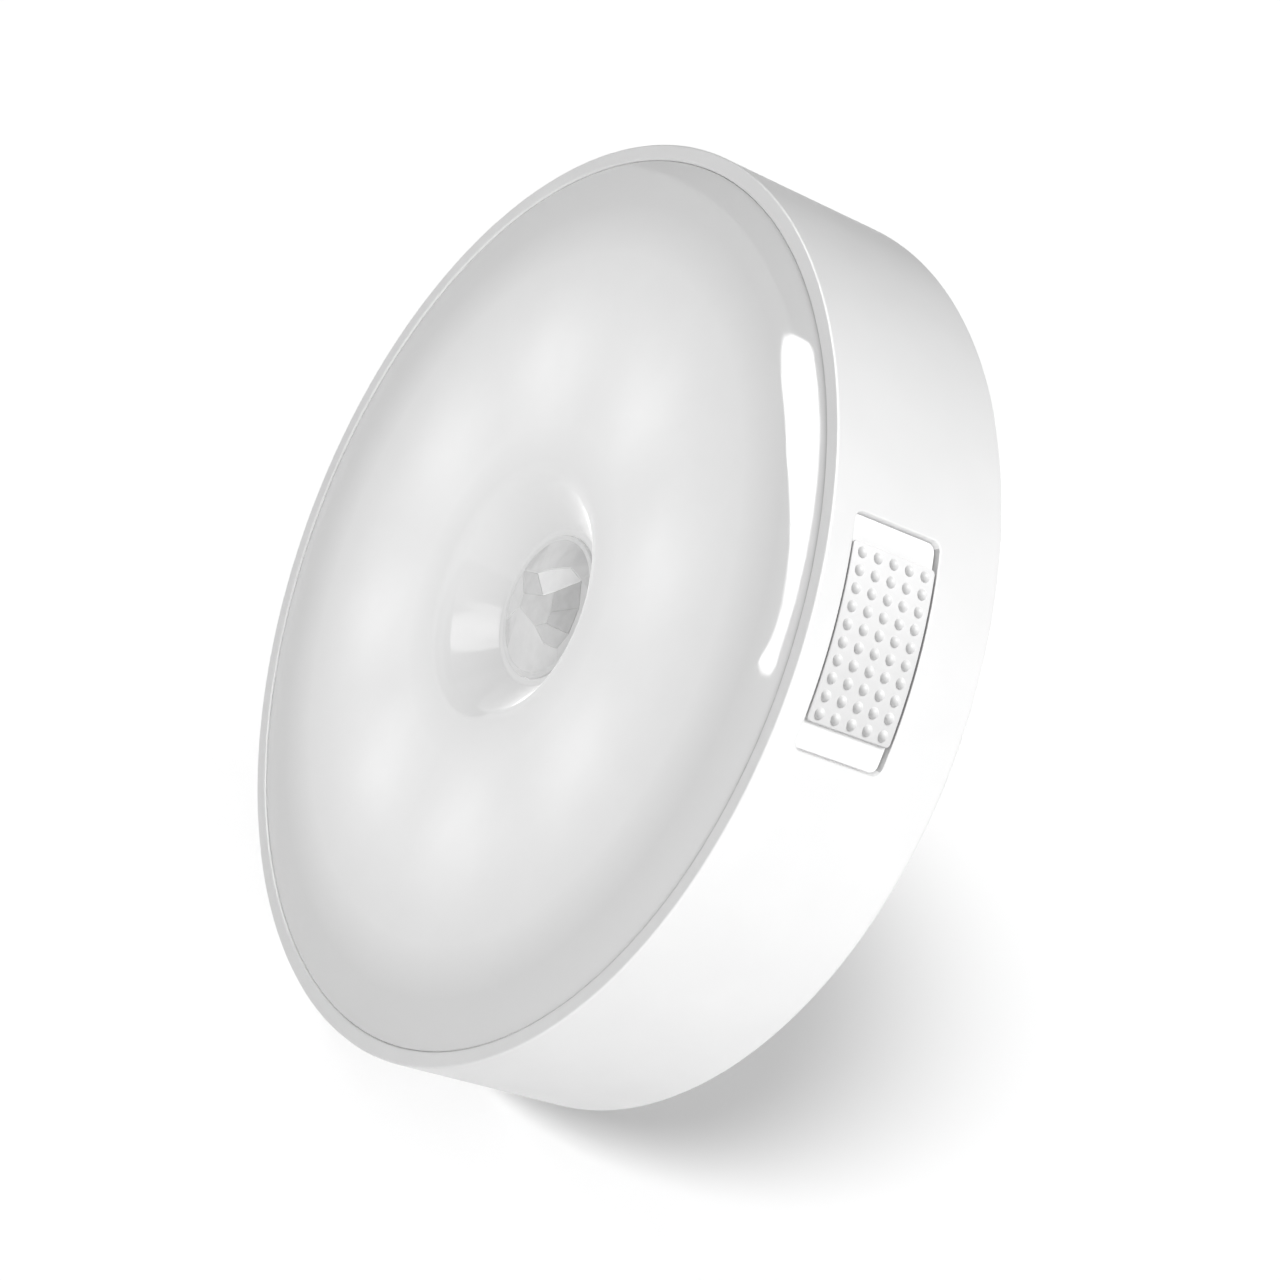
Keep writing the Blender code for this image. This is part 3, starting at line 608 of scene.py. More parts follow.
def wall_turns():
    """Turns of all columns of the wall, with the openings' own grid lines among them."""
    marks = []
    for opening in openings:
        along, _ = grid_lines(opening)
        marks.append((opening, [turn_at(opening, place, outer_radius) for place in along]))
    turns = []
    for (opening, own), (_, later) in zip(marks, marks[1:] + marks[:1]):
        opening["first_column"] = len(turns)
        turns += own
        end = later[0] if later[0] > own[-1] else later[0] + full_turn
        steps = max(1, round((end - own[-1]) / column_turn))
        turns += [own[-1] + (end - own[-1]) * step / steps for step in range(1, steps)]
    return turns


def pocket_loops():
    """Outlines from the pocket's edge over its groove and slanted floor, through the slot."""
    loops = [loop_at(pocket, pocket_edge_round + clearance / 2, outer_radius)]
    loops += edge_loops(pocket, outer_radius, pocket_edge_round, fillet_steps)
    groove_floor = pocket_radius - pocket_groove_depth
    loops.append(loop_at(pocket, 0.0, groove_floor))
    loops.append(loop_at(pocket, -pocket_groove_width, groove_floor))
    edge = loop_at(pocket, -pocket_groove_width, pocket_radius)
    loops.append(edge)
    slot_top = loop_at(slot, slot_edge_round, pocket_radius)
    for share in slant_shares:
        pairs = zip(edge, slot_top)
        loops.append([tuple(a + (b - a) * share for a, b in zip(*pair)) for pair in pairs])
    loops += edge_loops(slot, pocket_radius, slot_edge_round, fine_steps)
    loops.append(loop_at(slot, 0.0, wall_inner_radius))
    return loops


def housing_shell():
    """White cup with a fine lip, rounded back edge, switch pocket, slot and port openings."""
    turns = wall_turns()
    bm = bmesh.new()

    def band(points):
        rings = [ring(bm, [(radius, turn, level) for turn in turns]) for radius, level in points]
        skins(bm, rings)
        return rings[0], rings[-1]

    lip_inner = outer_radius - lip_width
    back_hub = (outer_radius - back_edge_round, back_edge_round)
    outer_hub = (outer_radius - lip_edge_round, rim_depth - lip_edge_round)
    inner_hub = (lip_inner + lip_edge_round, rim_depth - lip_edge_round)
    seat_hub = (lip_inner - seat_fillet, seat_level + seat_fillet)
    floor_hub = (wall_inner_radius - floor_fillet, floor_thickness + floor_fillet)

    back_start, back_end = band(arc(back_hub, back_edge_round, -quarter_turn, 0.0, back_edge_steps))
    bm.faces.new(back_start)
    front = arc(outer_hub, lip_edge_round, 0.0, quarter_turn, edge_steps)
    front += arc(inner_hub, lip_edge_round, quarter_turn, half_turn, edge_steps)
    front += arc(seat_hub, seat_fillet, 0.0, -quarter_turn, fine_steps)
    front.append((wall_inner_radius, seat_level))
    front_start, front_end = band(front)
    floor_start, floor_end = band(arc(floor_hub, floor_fillet, 0.0, -quarter_turn, fillet_steps))
    bm.faces.new(floor_end)
    outer_edges = wall(bm, back_end, front_start, turns, outer_radius, inner=False)
    inner_edges = wall(bm, floor_start, front_end, turns, wall_inner_radius, inner=True)

    tunnel(bm, outer_edges[0], pocket_loops(), inner_edges[0])
    for opening, start, end in zip(openings[1:], outer_edges[1:], inner_edges[1:]):
        loops = edge_loops(opening, outer_radius, window_edge_round, fillet_steps)
        loops.append(loop_at(opening, 0.0, wall_inner_radius))
        tunnel(bm, start, loops, end)
    cup = piece("housing_shell", bm)
    combine(cup, ((housing_posts(), "UNION"), (housing_wells(), "DIFFERENCE")))
    paint_pocket_shade_and_light(cup)
    return cup


def housing_posts():
    """Board posts, magnet bosses, battery stops and catches inside the housing."""
    made = bmesh.new()
    root = floor_thickness - join_overlap
    for turn in screw_turns:
        centre = polar(screw_circle_radius, turn)
        cylinder(made, centre, post_radius, root, board_bottom - clearance, post_steps)
    boss_top = magnet_inset + magnet_thickness + clearance + magnet_boss_wall
    for turn in magnet_turns:
        cylinder(made, polar(magnet_place, turn), magnet_boss_radius, root, boss_top, boss_steps)
    stop_place = battery_length / 2 + clearance + stop_thickness / 2
    stop_level = (root + floor_thickness + stop_height) / 2
    stop_size = (stop_thickness, stop_length, floor_thickness + stop_height - root)
    for side in (1, -1):
        for end in (1, -1):
            box(made, Vector((side * stop_place, end * stop_offset, stop_level)), stop_size)
    catch_level = seat_level - catch_drop - catch_height / 2
    for turn in hook_turns:
        depth = catch_reach + join_overlap * 2
        centre = polar(wall_inner_radius - catch_reach + depth / 2, turn, catch_level)
        box(made, centre, (depth, hook_width, catch_height), turn)
    return piece("posts", made)


def housing_wells():
    """Screw holes in the posts and the magnets' wells in the back, to be cut out."""
    made = bmesh.new()
    hole = screw_radius + clearance
    for turn in screw_turns:
        centre = polar(screw_circle_radius, turn)
        cylinder(made, centre, hole, floor_thickness, board_bottom + cut_margin, hole_steps)
    well_top = magnet_inset + magnet_thickness + clearance
    flare = magnet_well_radius + well_mouth_bevel
    outline = [
        (0.0, -cut_margin),
        (flare, -cut_margin),
        (flare, 0.0),
        (magnet_well_radius, well_mouth_bevel),
        (magnet_well_radius, well_top),
        (0.0, well_top),
    ]
    for turn in magnet_turns:
        well = bmesh.new()
        spin(well, outline, disc_steps)
        stamp(made, well, Matrix.Translation(polar(magnet_place, turn)))
    return piece("wells", made)


def paint_pocket_shade_and_light(cup):
    """Puts the painted shade material on the pocket's rear wall and the painted light material on
    its floor.
    """
    to_local = front_to_view.inverted()
    rear = pocket["level"] - pocket["half"][1]
    reach = pocket["half"][0] / outer_radius
    for face in cup.data.polygons:
        place = to_local @ face.center
        radius = hypot(place.x, place.y)
        turn = atan2(place.y, place.x) - pocket["turn"]
        across = abs(place.z - pocket["level"]) - pocket["half"][1]
        if abs(turn) > reach or across > pocket_rear_reach:
            continue
        # Painted light: the pocket's floor gets a paler material
        if abs(radius - pocket_radius) < pocket_floor_reach:
            face.material_index = shell_slots.index("floor")
        # Painted shade: the pocket's rear wall gets a darker material
        lowered = outer_radius - pocket_edge_round > radius > pocket_radius - pocket_groove_depth
        if lowered and abs(place.z - rear) < pocket_rear_reach:
            face.material_index = shell_slots.index("rear")


def crown(radius):
    """Level of the outside of the cover between the funnel and the shoulder."""
    return rim_depth + crest_height - (radius - crest_radius) ** 2 / (2 * crown_curve_radius)


def crown_slope(radius):
    """Slope of that surface."""
    return -(radius - crest_radius) / crown_curve_radius


def cover_profile():
    """Closed outline of the cover's section: dome, rounded mouth, funnel, skirt, underside."""
    slope = crown_slope(funnel_mouth_radius)
    normal = atan2(1.0, -slope)
    mouth = (
        funnel_mouth_radius - funnel_lip_round * cos(normal),
        crown(funnel_mouth_radius) - funnel_lip_round * sin(normal),
    )
    foot = (funnel_foot_radius, funnel_floor)
    reach = dist(foot, mouth)
    base = atan2(foot[1] - mouth[1], foot[0] - mouth[0])
    touch = (base - acos(funnel_lip_round / reach)) % full_turn
    lean = touch - quarter_turn

    start = (shoulder_radius_start, crown(shoulder_radius_start))
    edge = (cover_radius, rim_depth - edge_drop)
    heading = atan(crown_slope(shoulder_radius_start))
    bend = heading - atan2(edge[1] - start[1], edge[0] - start[0])
    curve = dist(start, edge) / (2 * sin(bend))
    hub = (start[0] + curve * sin(heading), start[1] - curve * cos(heading))
    round_radius = cover_radius - edge_round
    rise = sqrt((curve - edge_round) ** 2 - (round_radius - hub[0]) ** 2)
    round_hub = (round_radius, hub[1] + rise)
    corner = atan2(rise, round_radius - hub[0])

    fillet_reach = funnel_foot_fillet * tan(lean / 2)
    fillet_hub = (foot[0] - fillet_reach, funnel_floor + funnel_foot_fillet)
    hole_hub = (lens_hole_radius + lens_edge_round, funnel_floor - lens_edge_round)
    low_turn = lean - quarter_turn
    profile = [(lens_hole_radius, cover_underside)]
    profile += arc(hole_hub, lens_edge_round, half_turn, quarter_turn, fine_steps)
    profile += arc(fillet_hub, funnel_foot_fillet, -quarter_turn, low_turn, fillet_steps)
    profile += arc(mouth, funnel_lip_round, touch, normal, funnel_lip_steps)
    span = shoulder_radius_start - funnel_mouth_radius
    for step in range(1, crown_steps):
        radius = funnel_mouth_radius + span * step / crown_steps
        profile.append((radius, crown(radius)))
    profile += arc(hub, curve, heading + quarter_turn, corner, shoulder_steps)
    profile += arc(round_hub, edge_round, corner, 0.0, dome_steps)[1:]

    skirt_inner = cover_radius - skirt_width
    root_level = skirt_bottom + (edge[1] - skirt_bottom) * skirt_root_share
    profile += [
        (cover_radius, skirt_bottom + clearance / 2),
        (cover_radius - clearance / 2, skirt_bottom),
        (skirt_inner, skirt_bottom),
        (skirt_inner, root_level),
    ]
    under = crown(funnel_mouth_radius) - cover_thickness
    back_foot = foot[0] + cover_thickness / sin(lean)
    turn_radius = back_foot + (under - cover_underside) / tan(lean)
    span = shoulder_radius_start - turn_radius
    for step in range(underside_steps, 0, -1):
        radius = turn_radius + span * step / underside_steps
        profile.append((radius, crown(radius) - cover_thickness))
    return profile + [(turn_radius, under), (foot[0] + clearance * 2, cover_underside)]


def cover_dome():
    """Frosted cover with its funnel, lens hole and skirt, and three snap hooks below."""
    cover = turned("cover_dome", cover_profile(), cover_steps, closed=True)
    barb_top = seat_level - catch_drop - catch_height - clearance
    barb_bottom = barb_top - barb_height
    arm_outer = wall_inner_radius - catch_reach - clearance
    arm_inner = arm_outer - hook_thickness
    arm_top = rim_depth - edge_drop - clearance
    arm_size = (hook_thickness, hook_width, arm_top - barb_bottom)
    barb_inner = arm_inner + join_overlap
    barb_outer = wall_inner_radius - clearance
    barb_size = (
        barb_outer - barb_inner,
        hook_width - 2 * join_overlap,
        barb_top - barb_bottom - clearance,
    )
    arms = bmesh.new()
    barbs = bmesh.new()
    for turn in hook_turns:
        centre = polar((arm_inner + arm_outer) / 2, turn, (barb_bottom + arm_top) / 2)
        box(arms, centre, arm_size, turn)
        centre = polar((barb_inner + barb_outer) / 2, turn, (barb_bottom + barb_top) / 2)
        box(barbs, centre, barb_size, turn)
    return combine(cover, ((piece("arms", arms), "UNION"), (piece("barbs", barbs), "UNION")))


# Corners of the lens cells: share of the dome's radius, and turn in degrees
cell_corner_shares = {
    "left": (0.42, 193.0),
    "lower_left": (0.43, 222.0),
    "notch": (0.19, 64.0),
    "upper_right": (0.42, 55.0),
    "right": (0.44, 15.0),
    "lower_right": (0.47, 352.0),
    "lower": (0.37, 322.0),
    "upper_left": (0.48, 145.0),
    "upper": (0.52, 108.0),
    "far_upper": (0.76, 79.0),
    "far_upper_right": (0.88, 57.0),
    "far_right": (0.90, 30.0),
    "far_lower_right": (0.90, 5.0),
    "tail_side": (0.88, 346.0),
    "tail": (0.68, 333.0),
}

# Each cell: its tone, and its corners in turn. A number is a turn on the dome's edge. The tones are
# painted light, not the lens's own colour: pale is a painted highlight, mid is painted half shade,
# and deep is painted shade of the facets and of the dark sensor behind them.
lens_cells = (
    ("mid", ("left", "lower_left", "lower", "lower_right", "right", "upper_right", "notch")),
    ("mid", (180.0, "left", "notch", "upper_left")),
    ("plain", (225.0, "lower_left", "left", 180.0)),
    ("pale", ("notch", "upper_right", "far_upper_right", "far_upper", "upper", "upper_left")),
    ("deep", ("upper_right", "right", "far_right", "far_upper_right")),
    ("deep", ("right", "lower_right", "far_lower_right", "far_right")),
    ("mid", ("lower_right", "lower", "tail", "tail_side", "far_lower_right")),
    ("plain", (340.0, "tail_side", "tail", "lower", "lower_left", 225.0)),
    ("plain", (180.0, "upper_left", "upper", "far_upper", "far_upper_right", 60.0)),
    ("plain", (60.0, "far_upper_right", "far_right", "far_lower_right", "tail_side", 340.0)),
)
cell_tones = ("plain", "pale", "mid", "deep")


def lens_column(turn):
    """Facet of the lens's edge that lies at a turn in degrees."""
    return round(turn / 360.0 * lens_columns)


def cell_loop(marks, corners, edge):
    """Points round one cell, with all points of the edge between two turns on it."""
    loop = []
    for mark, following in zip(marks, marks[1:] + marks[:1]):
        if mark in corners:
            loop.append(corners[mark])
            continue
        column = lens_column(mark)
        loop.append(edge[column])
        if following not in corners:
            count = (lens_column(following) - column) % lens_columns
            step = 1
            if count > lens_columns / 2:
                count = lens_columns - count
                step = -1
            loop += [edge[(column + step * k) % lens_columns] for k in range(1, count)]
    return loop


def sensor_lens():
    """Lens: flange under the cover, rounded step, and a low dome of cells with fine grooves."""
    step_level = funnel_floor + lens_step
    ball = (lens_dome_radius**2 + lens_rise**2) / (2 * lens_rise)
    ceiling = step_level + lens_rise * lens_ceiling_share - lens_skin
    inner = lens_radius - lens_skin
    hub = (lens_radius - lens_edge_round, step_level - lens_edge_round)
    profile = [(lens_dome_radius, step_level)]
    profile += arc(hub, lens_edge_round, quarter_turn, 0.0, edge_steps)
    profile += [
        (lens_radius, lens_flange_top),
        (lens_flange_radius, lens_flange_top),
        (lens_flange_radius, lens_flange_bottom),
        (inner, lens_flange_bottom),
        (inner, step_level - lens_skin),
        (inner * lens_hollow_share, ceiling),
        (0.0, ceiling),
    ]
    bm = bmesh.new()
    edge = spin(bm, profile, lens_columns)[0]
    corners = {}
    for name, (share, turn) in cell_corner_shares.items():
        radius = lens_dome_radius * share
        level = step_level + lens_rise - ball + sqrt(ball**2 - radius**2)
        corners[name] = bm.verts.new(polar(radius, radians(turn), level))

    cells = []
    for tone_name, marks in lens_cells:
        face = bm.faces.new(cell_loop(marks, corners, edge))
        # Each cell gets its painted tone: plain, painted highlight, painted half shade or painted
        # shade
        face.material_index = cell_tones.index(tone_name)
        cells.append(face)
    bmesh.ops.recalc_face_normals(bm, faces=bm.faces[:])
    bmesh.ops.inset_individual(bm, faces=cells, thickness=cell_bevel, depth=cell_lift)
    bmesh.ops.triangulate(bm, faces=cells)
    return piece("sensor_lens", bm)


def thumb_plate():
    """Thin plate that follows the wall, with soft edges."""
    plate_inner = outer_radius - slider_thickness
    edge = []
    for offset, depth in rounding(slider_edge_round, fillet_steps):
        edge.append((-offset, outer_radius - depth))
    edge += [(0.0, plate_inner + slider_edge_round), (-slider_edge_round, plate_inner)]
    bm = bmesh.new()
    rings = [ring(bm, loop_at(plate_shape, offset, radius)) for offset, radius in edge]
    skins(bm, rings)
    flats, rises, bends = plate_shape["counts"]
    far_side = 4 * bends + flats + rises
    for loop in (rings[0], rings[-1]):
        for step in range(flats):
            low = bends + step
            high = far_side + bends + flats - step
            bm.faces.new((loop[low], loop[low + 1], loop[high - 1], loop[high]))
        bm.faces.new(loop[far_side + bends + flats :] + loop[: bends + 1])
        bm.faces.new(loop[bends + flats : far_side + bends + 1])
    return piece("slider_cap", bm)


def thumb_bumps():
    """Rows of small domes on the plate."""
    curve = (bump_radius**2 + bump_height**2) / (2 * bump_height)
    rim_turn = asin(bump_radius / curve)
    outline = [(0.0, -bump_sink), (bump_radius, -bump_sink)]
    for step in range(dome_steps + 1):
        turn = rim_turn * (1 - step / dome_steps)
        outline.append((curve * sin(turn), curve * cos(turn) - curve + bump_height))
    made = bmesh.new()
    for row in range(bump_rows):
        turn = (row - (bump_rows - 1) / 2) * bump_pitch_along / outer_radius
        for column in range(bump_columns):
            up = (column - (bump_columns - 1) / 2) * bump_pitch_across
            dome = bmesh.new()
            spin(dome, outline, bump_steps)
            where = (
                Matrix.Translation((-outer_radius, 0.0, up))
                @ Matrix.Rotation(turn, 4, "Z")
                @ Matrix.Translation((outer_radius, 0.0, 0.0))
                @ Matrix.Rotation(quarter_turn, 4, "Y")
            )
            stamp(made, dome, where)
    return piece("bumps", made, switch_frame)


def switch_block(name, start, end, length, width):
    """Block on the slider's stem, from start to end along the wall's outward direction."""
    bm = bmesh.new()
    centre = Vector(((start + end) / 2, 0.0, -stem_lift))
    box(bm, centre, (end - start, length, width))
    return piece(name, bm, switch_frame)


def slider_cap():
    """Thumb plate with fifty small domes, a stem through the slot, barbs and a fork."""
    plate = thumb_plate()
    bumps = thumb_bumps()
    stem_start = -stem_end_depth
    barb_outer = -wall_thickness - 2 * clearance
    fork_half = knob_entry + clearance
    fork_width = stem_width + cut_margin
    barb_width = stem_width + 2 * stem_barb_width
    slit = knob_length + 2 * clearance
    stem = switch_block("stem", stem_start, -slider_thickness / 2, stem_length, stem_width)
    barbs = switch_block(
        "barbs",
        barb_outer - stem_barb_length,
        barb_outer,
        stem_length - 2 * clearance,
        barb_width,
    )
    fork = switch_block("fork", stem_start - fork_half, stem_start + fork_half, slit, fork_width)
    return combine(
        plate, ((bumps, "UNION"), (stem, "UNION"), (barbs, "UNION"), (fork, "DIFFERENCE"))
    )


def slider_shade_strip():
    """Dark strip along the slider's rear edge, a painted shade for the gap that lies in shadow
    there.
    """
    low = slider_level - slider_width / 2 - shade_strip_width
    high = low + shade_strip_width
    base = outer_radius - slider_thickness - shade_strip_width / 2
    top = outer_radius - shade_strip_depth
    bevel = shade_strip_width / 4
    section = (
        (base, low),
        (base, high),
        (top - bevel, high),
        (top, high - bevel),
        (top, low + bevel),
        (top - bevel, low),
    )
    reach = (slider_length / 2 - slider_corner) / outer_radius
    bm = bmesh.new()
    rings = []
    for step in range(shade_strip_steps + 1):
        turn = switch_turn - reach + 2 * reach * step / shade_strip_steps
        rings.append(ring(bm, [(radius, turn, level) for radius, level in section]))
    capped(bm, rings)
    return piece("slider_shade_strip", bm)


def magnet(name, turn):
    """Nickel disc with rounded edges, set in the back."""
    flat = magnet_radius - magnet_edge_round
    top = magnet_thickness - magnet_edge_round
    profile = [(0.0, 0.0)]
    profile += arc((flat, magnet_edge_round), magnet_edge_round, -quarter_turn, 0.0, edge_steps)
    profile += arc((flat, top), magnet_edge_round, 0.0, quarter_turn, edge_steps)
    profile.append((0.0, magnet_thickness))
    where = Matrix.Translation(polar(magnet_place, turn, magnet_inset))
    return turned(name, profile, disc_steps, where)


def port_sleeve():
    """Folded steel sleeve of the charging port, closed at the back, with a soft mouth."""
    mouth = outer_radius - port_setback
    back = mouth - port_length
    lip_hub = mouth - port_lip_round
    stack = [(-port_wall, back), (0.0, back + port_wall)]
    stack += arc((-port_lip_round, lip_hub), port_lip_round, 0.0, half_turn, fillet_steps)
    stack += [(-port_wall, lip_hub - port_lip_round), (-port_wall, back + port_wall)]
    half = (port_width / 2, port_height / 2)
    bm = bmesh.new()
    rings = []
    for offset, along in stack:
        outline = contour(*half, port_height / 2, offset, sleeve_counts)
        rings.append([bm.verts.new((along, across, port_level + up)) for across, up in outline])
    capped(bm, rings)
    return piece("port_sleeve", bm, Matrix.Rotation(port_turn, 4, "Z"))


def indicator_window():
    """Clear light pipe beside the port, its outer end softly rounded."""
    side = sqrt(outer_radius**2 - (indicator_offset + pipe_radius) ** 2)
    end = side - pipe_setback
    start = board_radius - indicator_edge_gap + clearance
    profile = [(0.0, start), (pipe_radius, start)]
    hub = (pipe_radius - pipe_end_round, end - pipe_end_round)
    profile += arc(hub, pipe_end_round, 0.0, quarter_turn, edge_steps)
    profile.append((0.0, end))
    where = Matrix.Rotation(port_turn, 4, "Z")
    where = where @ Matrix.Translation((0.0, indicator_offset, pipe_level))
    where = where @ Matrix.Rotation(quarter_turn, 4, "Y")
    return turned("indicator_window", profile, post_steps, where)


# Materials


class Graph:
    """Short calls for the nodes of a material or of the world."""

    def __init__(self, owner):
        owner.use_nodes = True
        self.owner = owner
        self.nodes = owner.node_tree.nodes
        self.links = owner.node_tree.links

    def join(self, source, target):
        if isinstance(source, (int, float)):
            target.default_value = source
        elif isinstance(source, tuple):
            target.default_value = (*source, 1.0)
        else:
            self.links.new(source, target)

    def fill(self, node, **values):
        """Sets a node's inputs to numbers, colours or outputs. A _ stands for a space."""
        for key, value in values.items():
            self.join(value, node.inputs[key.replace("_", " ")])

    def add(self, kind, **values):
        node = self.nodes.new("ShaderNode" + kind)
        self.fill(node, **values)
        return node

    def finish(self, **values):
        """Sets the material's own shader and returns the material."""
        self.fill(self.nodes["Principled BSDF"], **values)
        return self.owner

    def place(self):
        return self.add("TexCoord").outputs["Object"]

    def maths(self, operation, *sources):
        node = self.add("Math")
        node.operation = operation
        for source, target in zip(sources, node.inputs):
            self.join(source, target)
        return node.outputs[0]

    def times(self, first, second):
        return self.maths("MULTIPLY", first, second)

    def plus(self, first, second):
        return self.maths("ADD", first, second)

    def bell(self, square, width):
        """Falls off from 1 as a bell curve does, from the square of a distance."""
        return self.maths("EXPONENT", self.times(square, -1.0 / (2 * width**2)))

    def noise(self, size, detail, stretch=None):
        place = self.place()
        if stretch:
            mapping = self.add("Mapping", Vector=place)
            mapping.inputs["Scale"].default_value = stretch
            place = mapping.outputs["Vector"]
        return self.add("TexNoise", Vector=place, Scale=1.0 / size, Detail=detail).outputs[0]

    def spread(self, source, low, high, start=noise_low, end=noise_high):
        limits = {"From_Min": start, "From_Max": end, "To_Min": low, "To_Max": high}
        return self.add("MapRange", Value=source, **limits).outputs["Result"]

    def blend(self, share, first, second):
        node = self.add("Mix")
        node.data_type = "RGBA"
        self.fill(node, Factor=share, A=first, B=second)
        return node.outputs["Result"]

    def relief(self, source, height):
        return self.add("Bump", Strength=1.0, Distance=height, Height=source).outputs["Normal"]


def grey(level):
    return (level, level, level)


def tone(colour, share):
    return tuple(part * share for part in colour)


def moulded(
    name, colour, roughness, drift=0.03, blotch=0.009, grain=0.00035, height=0.0000015, glow=0.0
):
    """Moulded plastic: slow drift of tone, uneven gloss and a fine grain. A glow above zero is
    painted glow, drawn as emission.
    """
    graph = Graph(bpy.data.materials.new(name))
    slow = graph.noise(blotch, soft_detail)
    fine = graph.noise(grain, fine_detail)
    gloss = graph.noise(blotch * gloss_blotch_share, fine_detail)
    low, high = plastic_gloss_shares
    return graph.finish(
        Base_Color=graph.blend(graph.spread(slow, 0.0, 1.0), colour, tone(colour, 1.0 - drift)),
        Roughness=graph.spread(gloss, roughness * low, roughness * high),
        Normal=graph.relief(fine, height),
        IOR=plastic_ior,
        Emission_Color=colour,
        Emission_Strength=glow,
    )


def metal(name, colour, roughness, stretch=None, grain=0.0004, height=0.000002, shine=1.0):
    """Plated or rolled metal: streaks in gloss and tone, with a fine grain."""
    graph = Graph(bpy.data.materials.new(name))
    streak = graph.noise(grain, streak_detail, stretch)
    slow = graph.noise(metal_blotch, medium_detail)
    low, high = metal_gloss_shares
    return graph.finish(
        Base_Color=graph.blend(graph.spread(slow, 0.0, 1.0), colour, tone(colour, metal_shade)),
        Metallic=shine,
        Roughness=graph.spread(streak, roughness * low, roughness * high),
        Normal=graph.relief(streak, height),
    )


def cover_look():
    """Milky cover, glossy outside, with the soft glow of the eight lights behind it painted on as
    emission, painted shade towards its rim, and painted shade and painted glow in the funnel.
    """
    graph = Graph(bpy.data.materials.new("milky_cover"))
    split = graph.add("SeparateXYZ", Vector=graph.place())
    x, z = split.outputs["X"], split.outputs["Z"]
    squares = graph.plus(graph.times(x, x), graph.times(z, z))
    radius = graph.maths("SQRT", squares)
    turn = graph.maths("ARCTAN2", z, x)
    sector = full_turn / led_count
    shifted = graph.plus(turn, full_turn + sector / 2 - led_turn)
    folded = graph.maths("SUBTRACT", graph.maths("FLOORED_MODULO", shifted, sector), sector / 2)
    beside = graph.times(radius, graph.maths("COSINE", folded))
    apart = graph.plus(
        graph.times(beside, -2 * led_circle_radius), graph.plus(squares, led_circle_radius**2)
    )
    # Painted glow: bright spots and a ring, drawn as emission, where the eight lights sit behind
    # the cover
    spot = graph.bell(apart, glow_spread)
    beyond = graph.maths("SUBTRACT", radius, led_circle_radius)
    away = graph.maths("MAXIMUM", beyond, graph.times(beyond, -glow_inner_share))
    halo = graph.bell(graph.times(away, away), ring_spread)
    cloud = graph.spread(graph.noise(cloud_size, soft_detail), *cloud_shares)
    glow = graph.plus(
        graph.times(graph.times(spot, spot_glow), cloud), graph.times(halo, ring_glow)
    )
    haze = graph.spread(graph.noise(haze_size, medium_detail), 0.0, 1.0)
    # Painted shade: the cover's tone darkens from here out towards its rim
    rim = graph.spread(radius, 0.0, 1.0, rim_shade_start, shoulder_radius_start)
    # Painted shade and painted glow in the funnel: the base darkens and emission rises towards the
    # lens
    deep = graph.spread(radius, 1.0, 0.0, funnel_glow_radius, funnel_mouth_radius + funnel_blend)
    base = graph.blend(haze, cover_tone, tone(cover_tone, haze_share))
    base = graph.blend(rim, base, tone(cover_tone, cover_rim_shade_share))
    base = graph.blend(deep, base, tone(cover_tone, funnel_shade_share))
    return graph.finish(
        Base_Color=base,
        Roughness=graph.spread(graph.noise(cover_gloss_size, fine_detail), *cover_gloss_range),
        Normal=graph.relief(graph.noise(cover_wave_size, medium_detail), cover_wave_height),
        IOR=plastic_ior,
        Emission_Color=(1.0, 1.0, 1.0),
        Emission_Strength=graph.maths("MULTIPLY_ADD", deep, funnel_painted_glow, glow),
    )


# Shell slots: plain, painted shade on the pocket's rear wall, and painted light on the pocket's
# floor
shell_slots = ("plain", "rear", "floor")
shell_looks = [
    moulded("satin_shell", grey(0.86), 0.34),
    moulded("shaded_wall", grey(0.52), 0.5, blotch=0.002),
    moulded("painted_light_recess", grey(0.93), 0.4, blotch=0.003),
]
slider_look = moulded("satin_slider", grey(0.80), 0.42, blotch=0.004)
# Painted shade: black strip where the gap behind the slider lies in shadow
shade_strip_look = moulded("black_shade_strip", (0.022, 0.022, 0.023), 0.6, drift=0.3, blotch=0.001)
# Lens materials: the plain one, then a painted highlight, painted half shade and painted shade for
# its cells, each with a faint painted glow
lens_looks = [
    moulded("lens_milky", grey(0.775), 0.22, drift=0.06, blotch=0.0012, glow=lens_painted_glow),
    moulded("lens_cell_painted_highlight", grey(0.90), 0.18, drift=0.04, blotch=0.0010, glow=lens_painted_glow),
    moulded("lens_cell_painted_half_shade", grey(0.68), 0.20, drift=0.08, blotch=0.0010, glow=lens_painted_glow),
    moulded("lens_cell_painted_shade", grey(0.60), 0.20, drift=0.12, blotch=0.0010, glow=lens_painted_glow),
]
nickel = metal("nickel_plate", (0.66, 0.64, 0.60), 0.24, grain=0.0002, height=0.000001)
sleeve_steel = metal("sleeve_steel", (0.60, 0.60, 0.61), 0.30, stretch=(1.0, 1.0, 6.0))
pipe_look = moulded("pipe_clear", (0.82, 0.84, 0.86), 0.12, blotch=0.0006)
foil = {"grain": 0.0012, "height": 0.00002, "shine": 0.9}
pores = {"drift": 0.5, "blotch": 0.0006, "height": 0.00008}

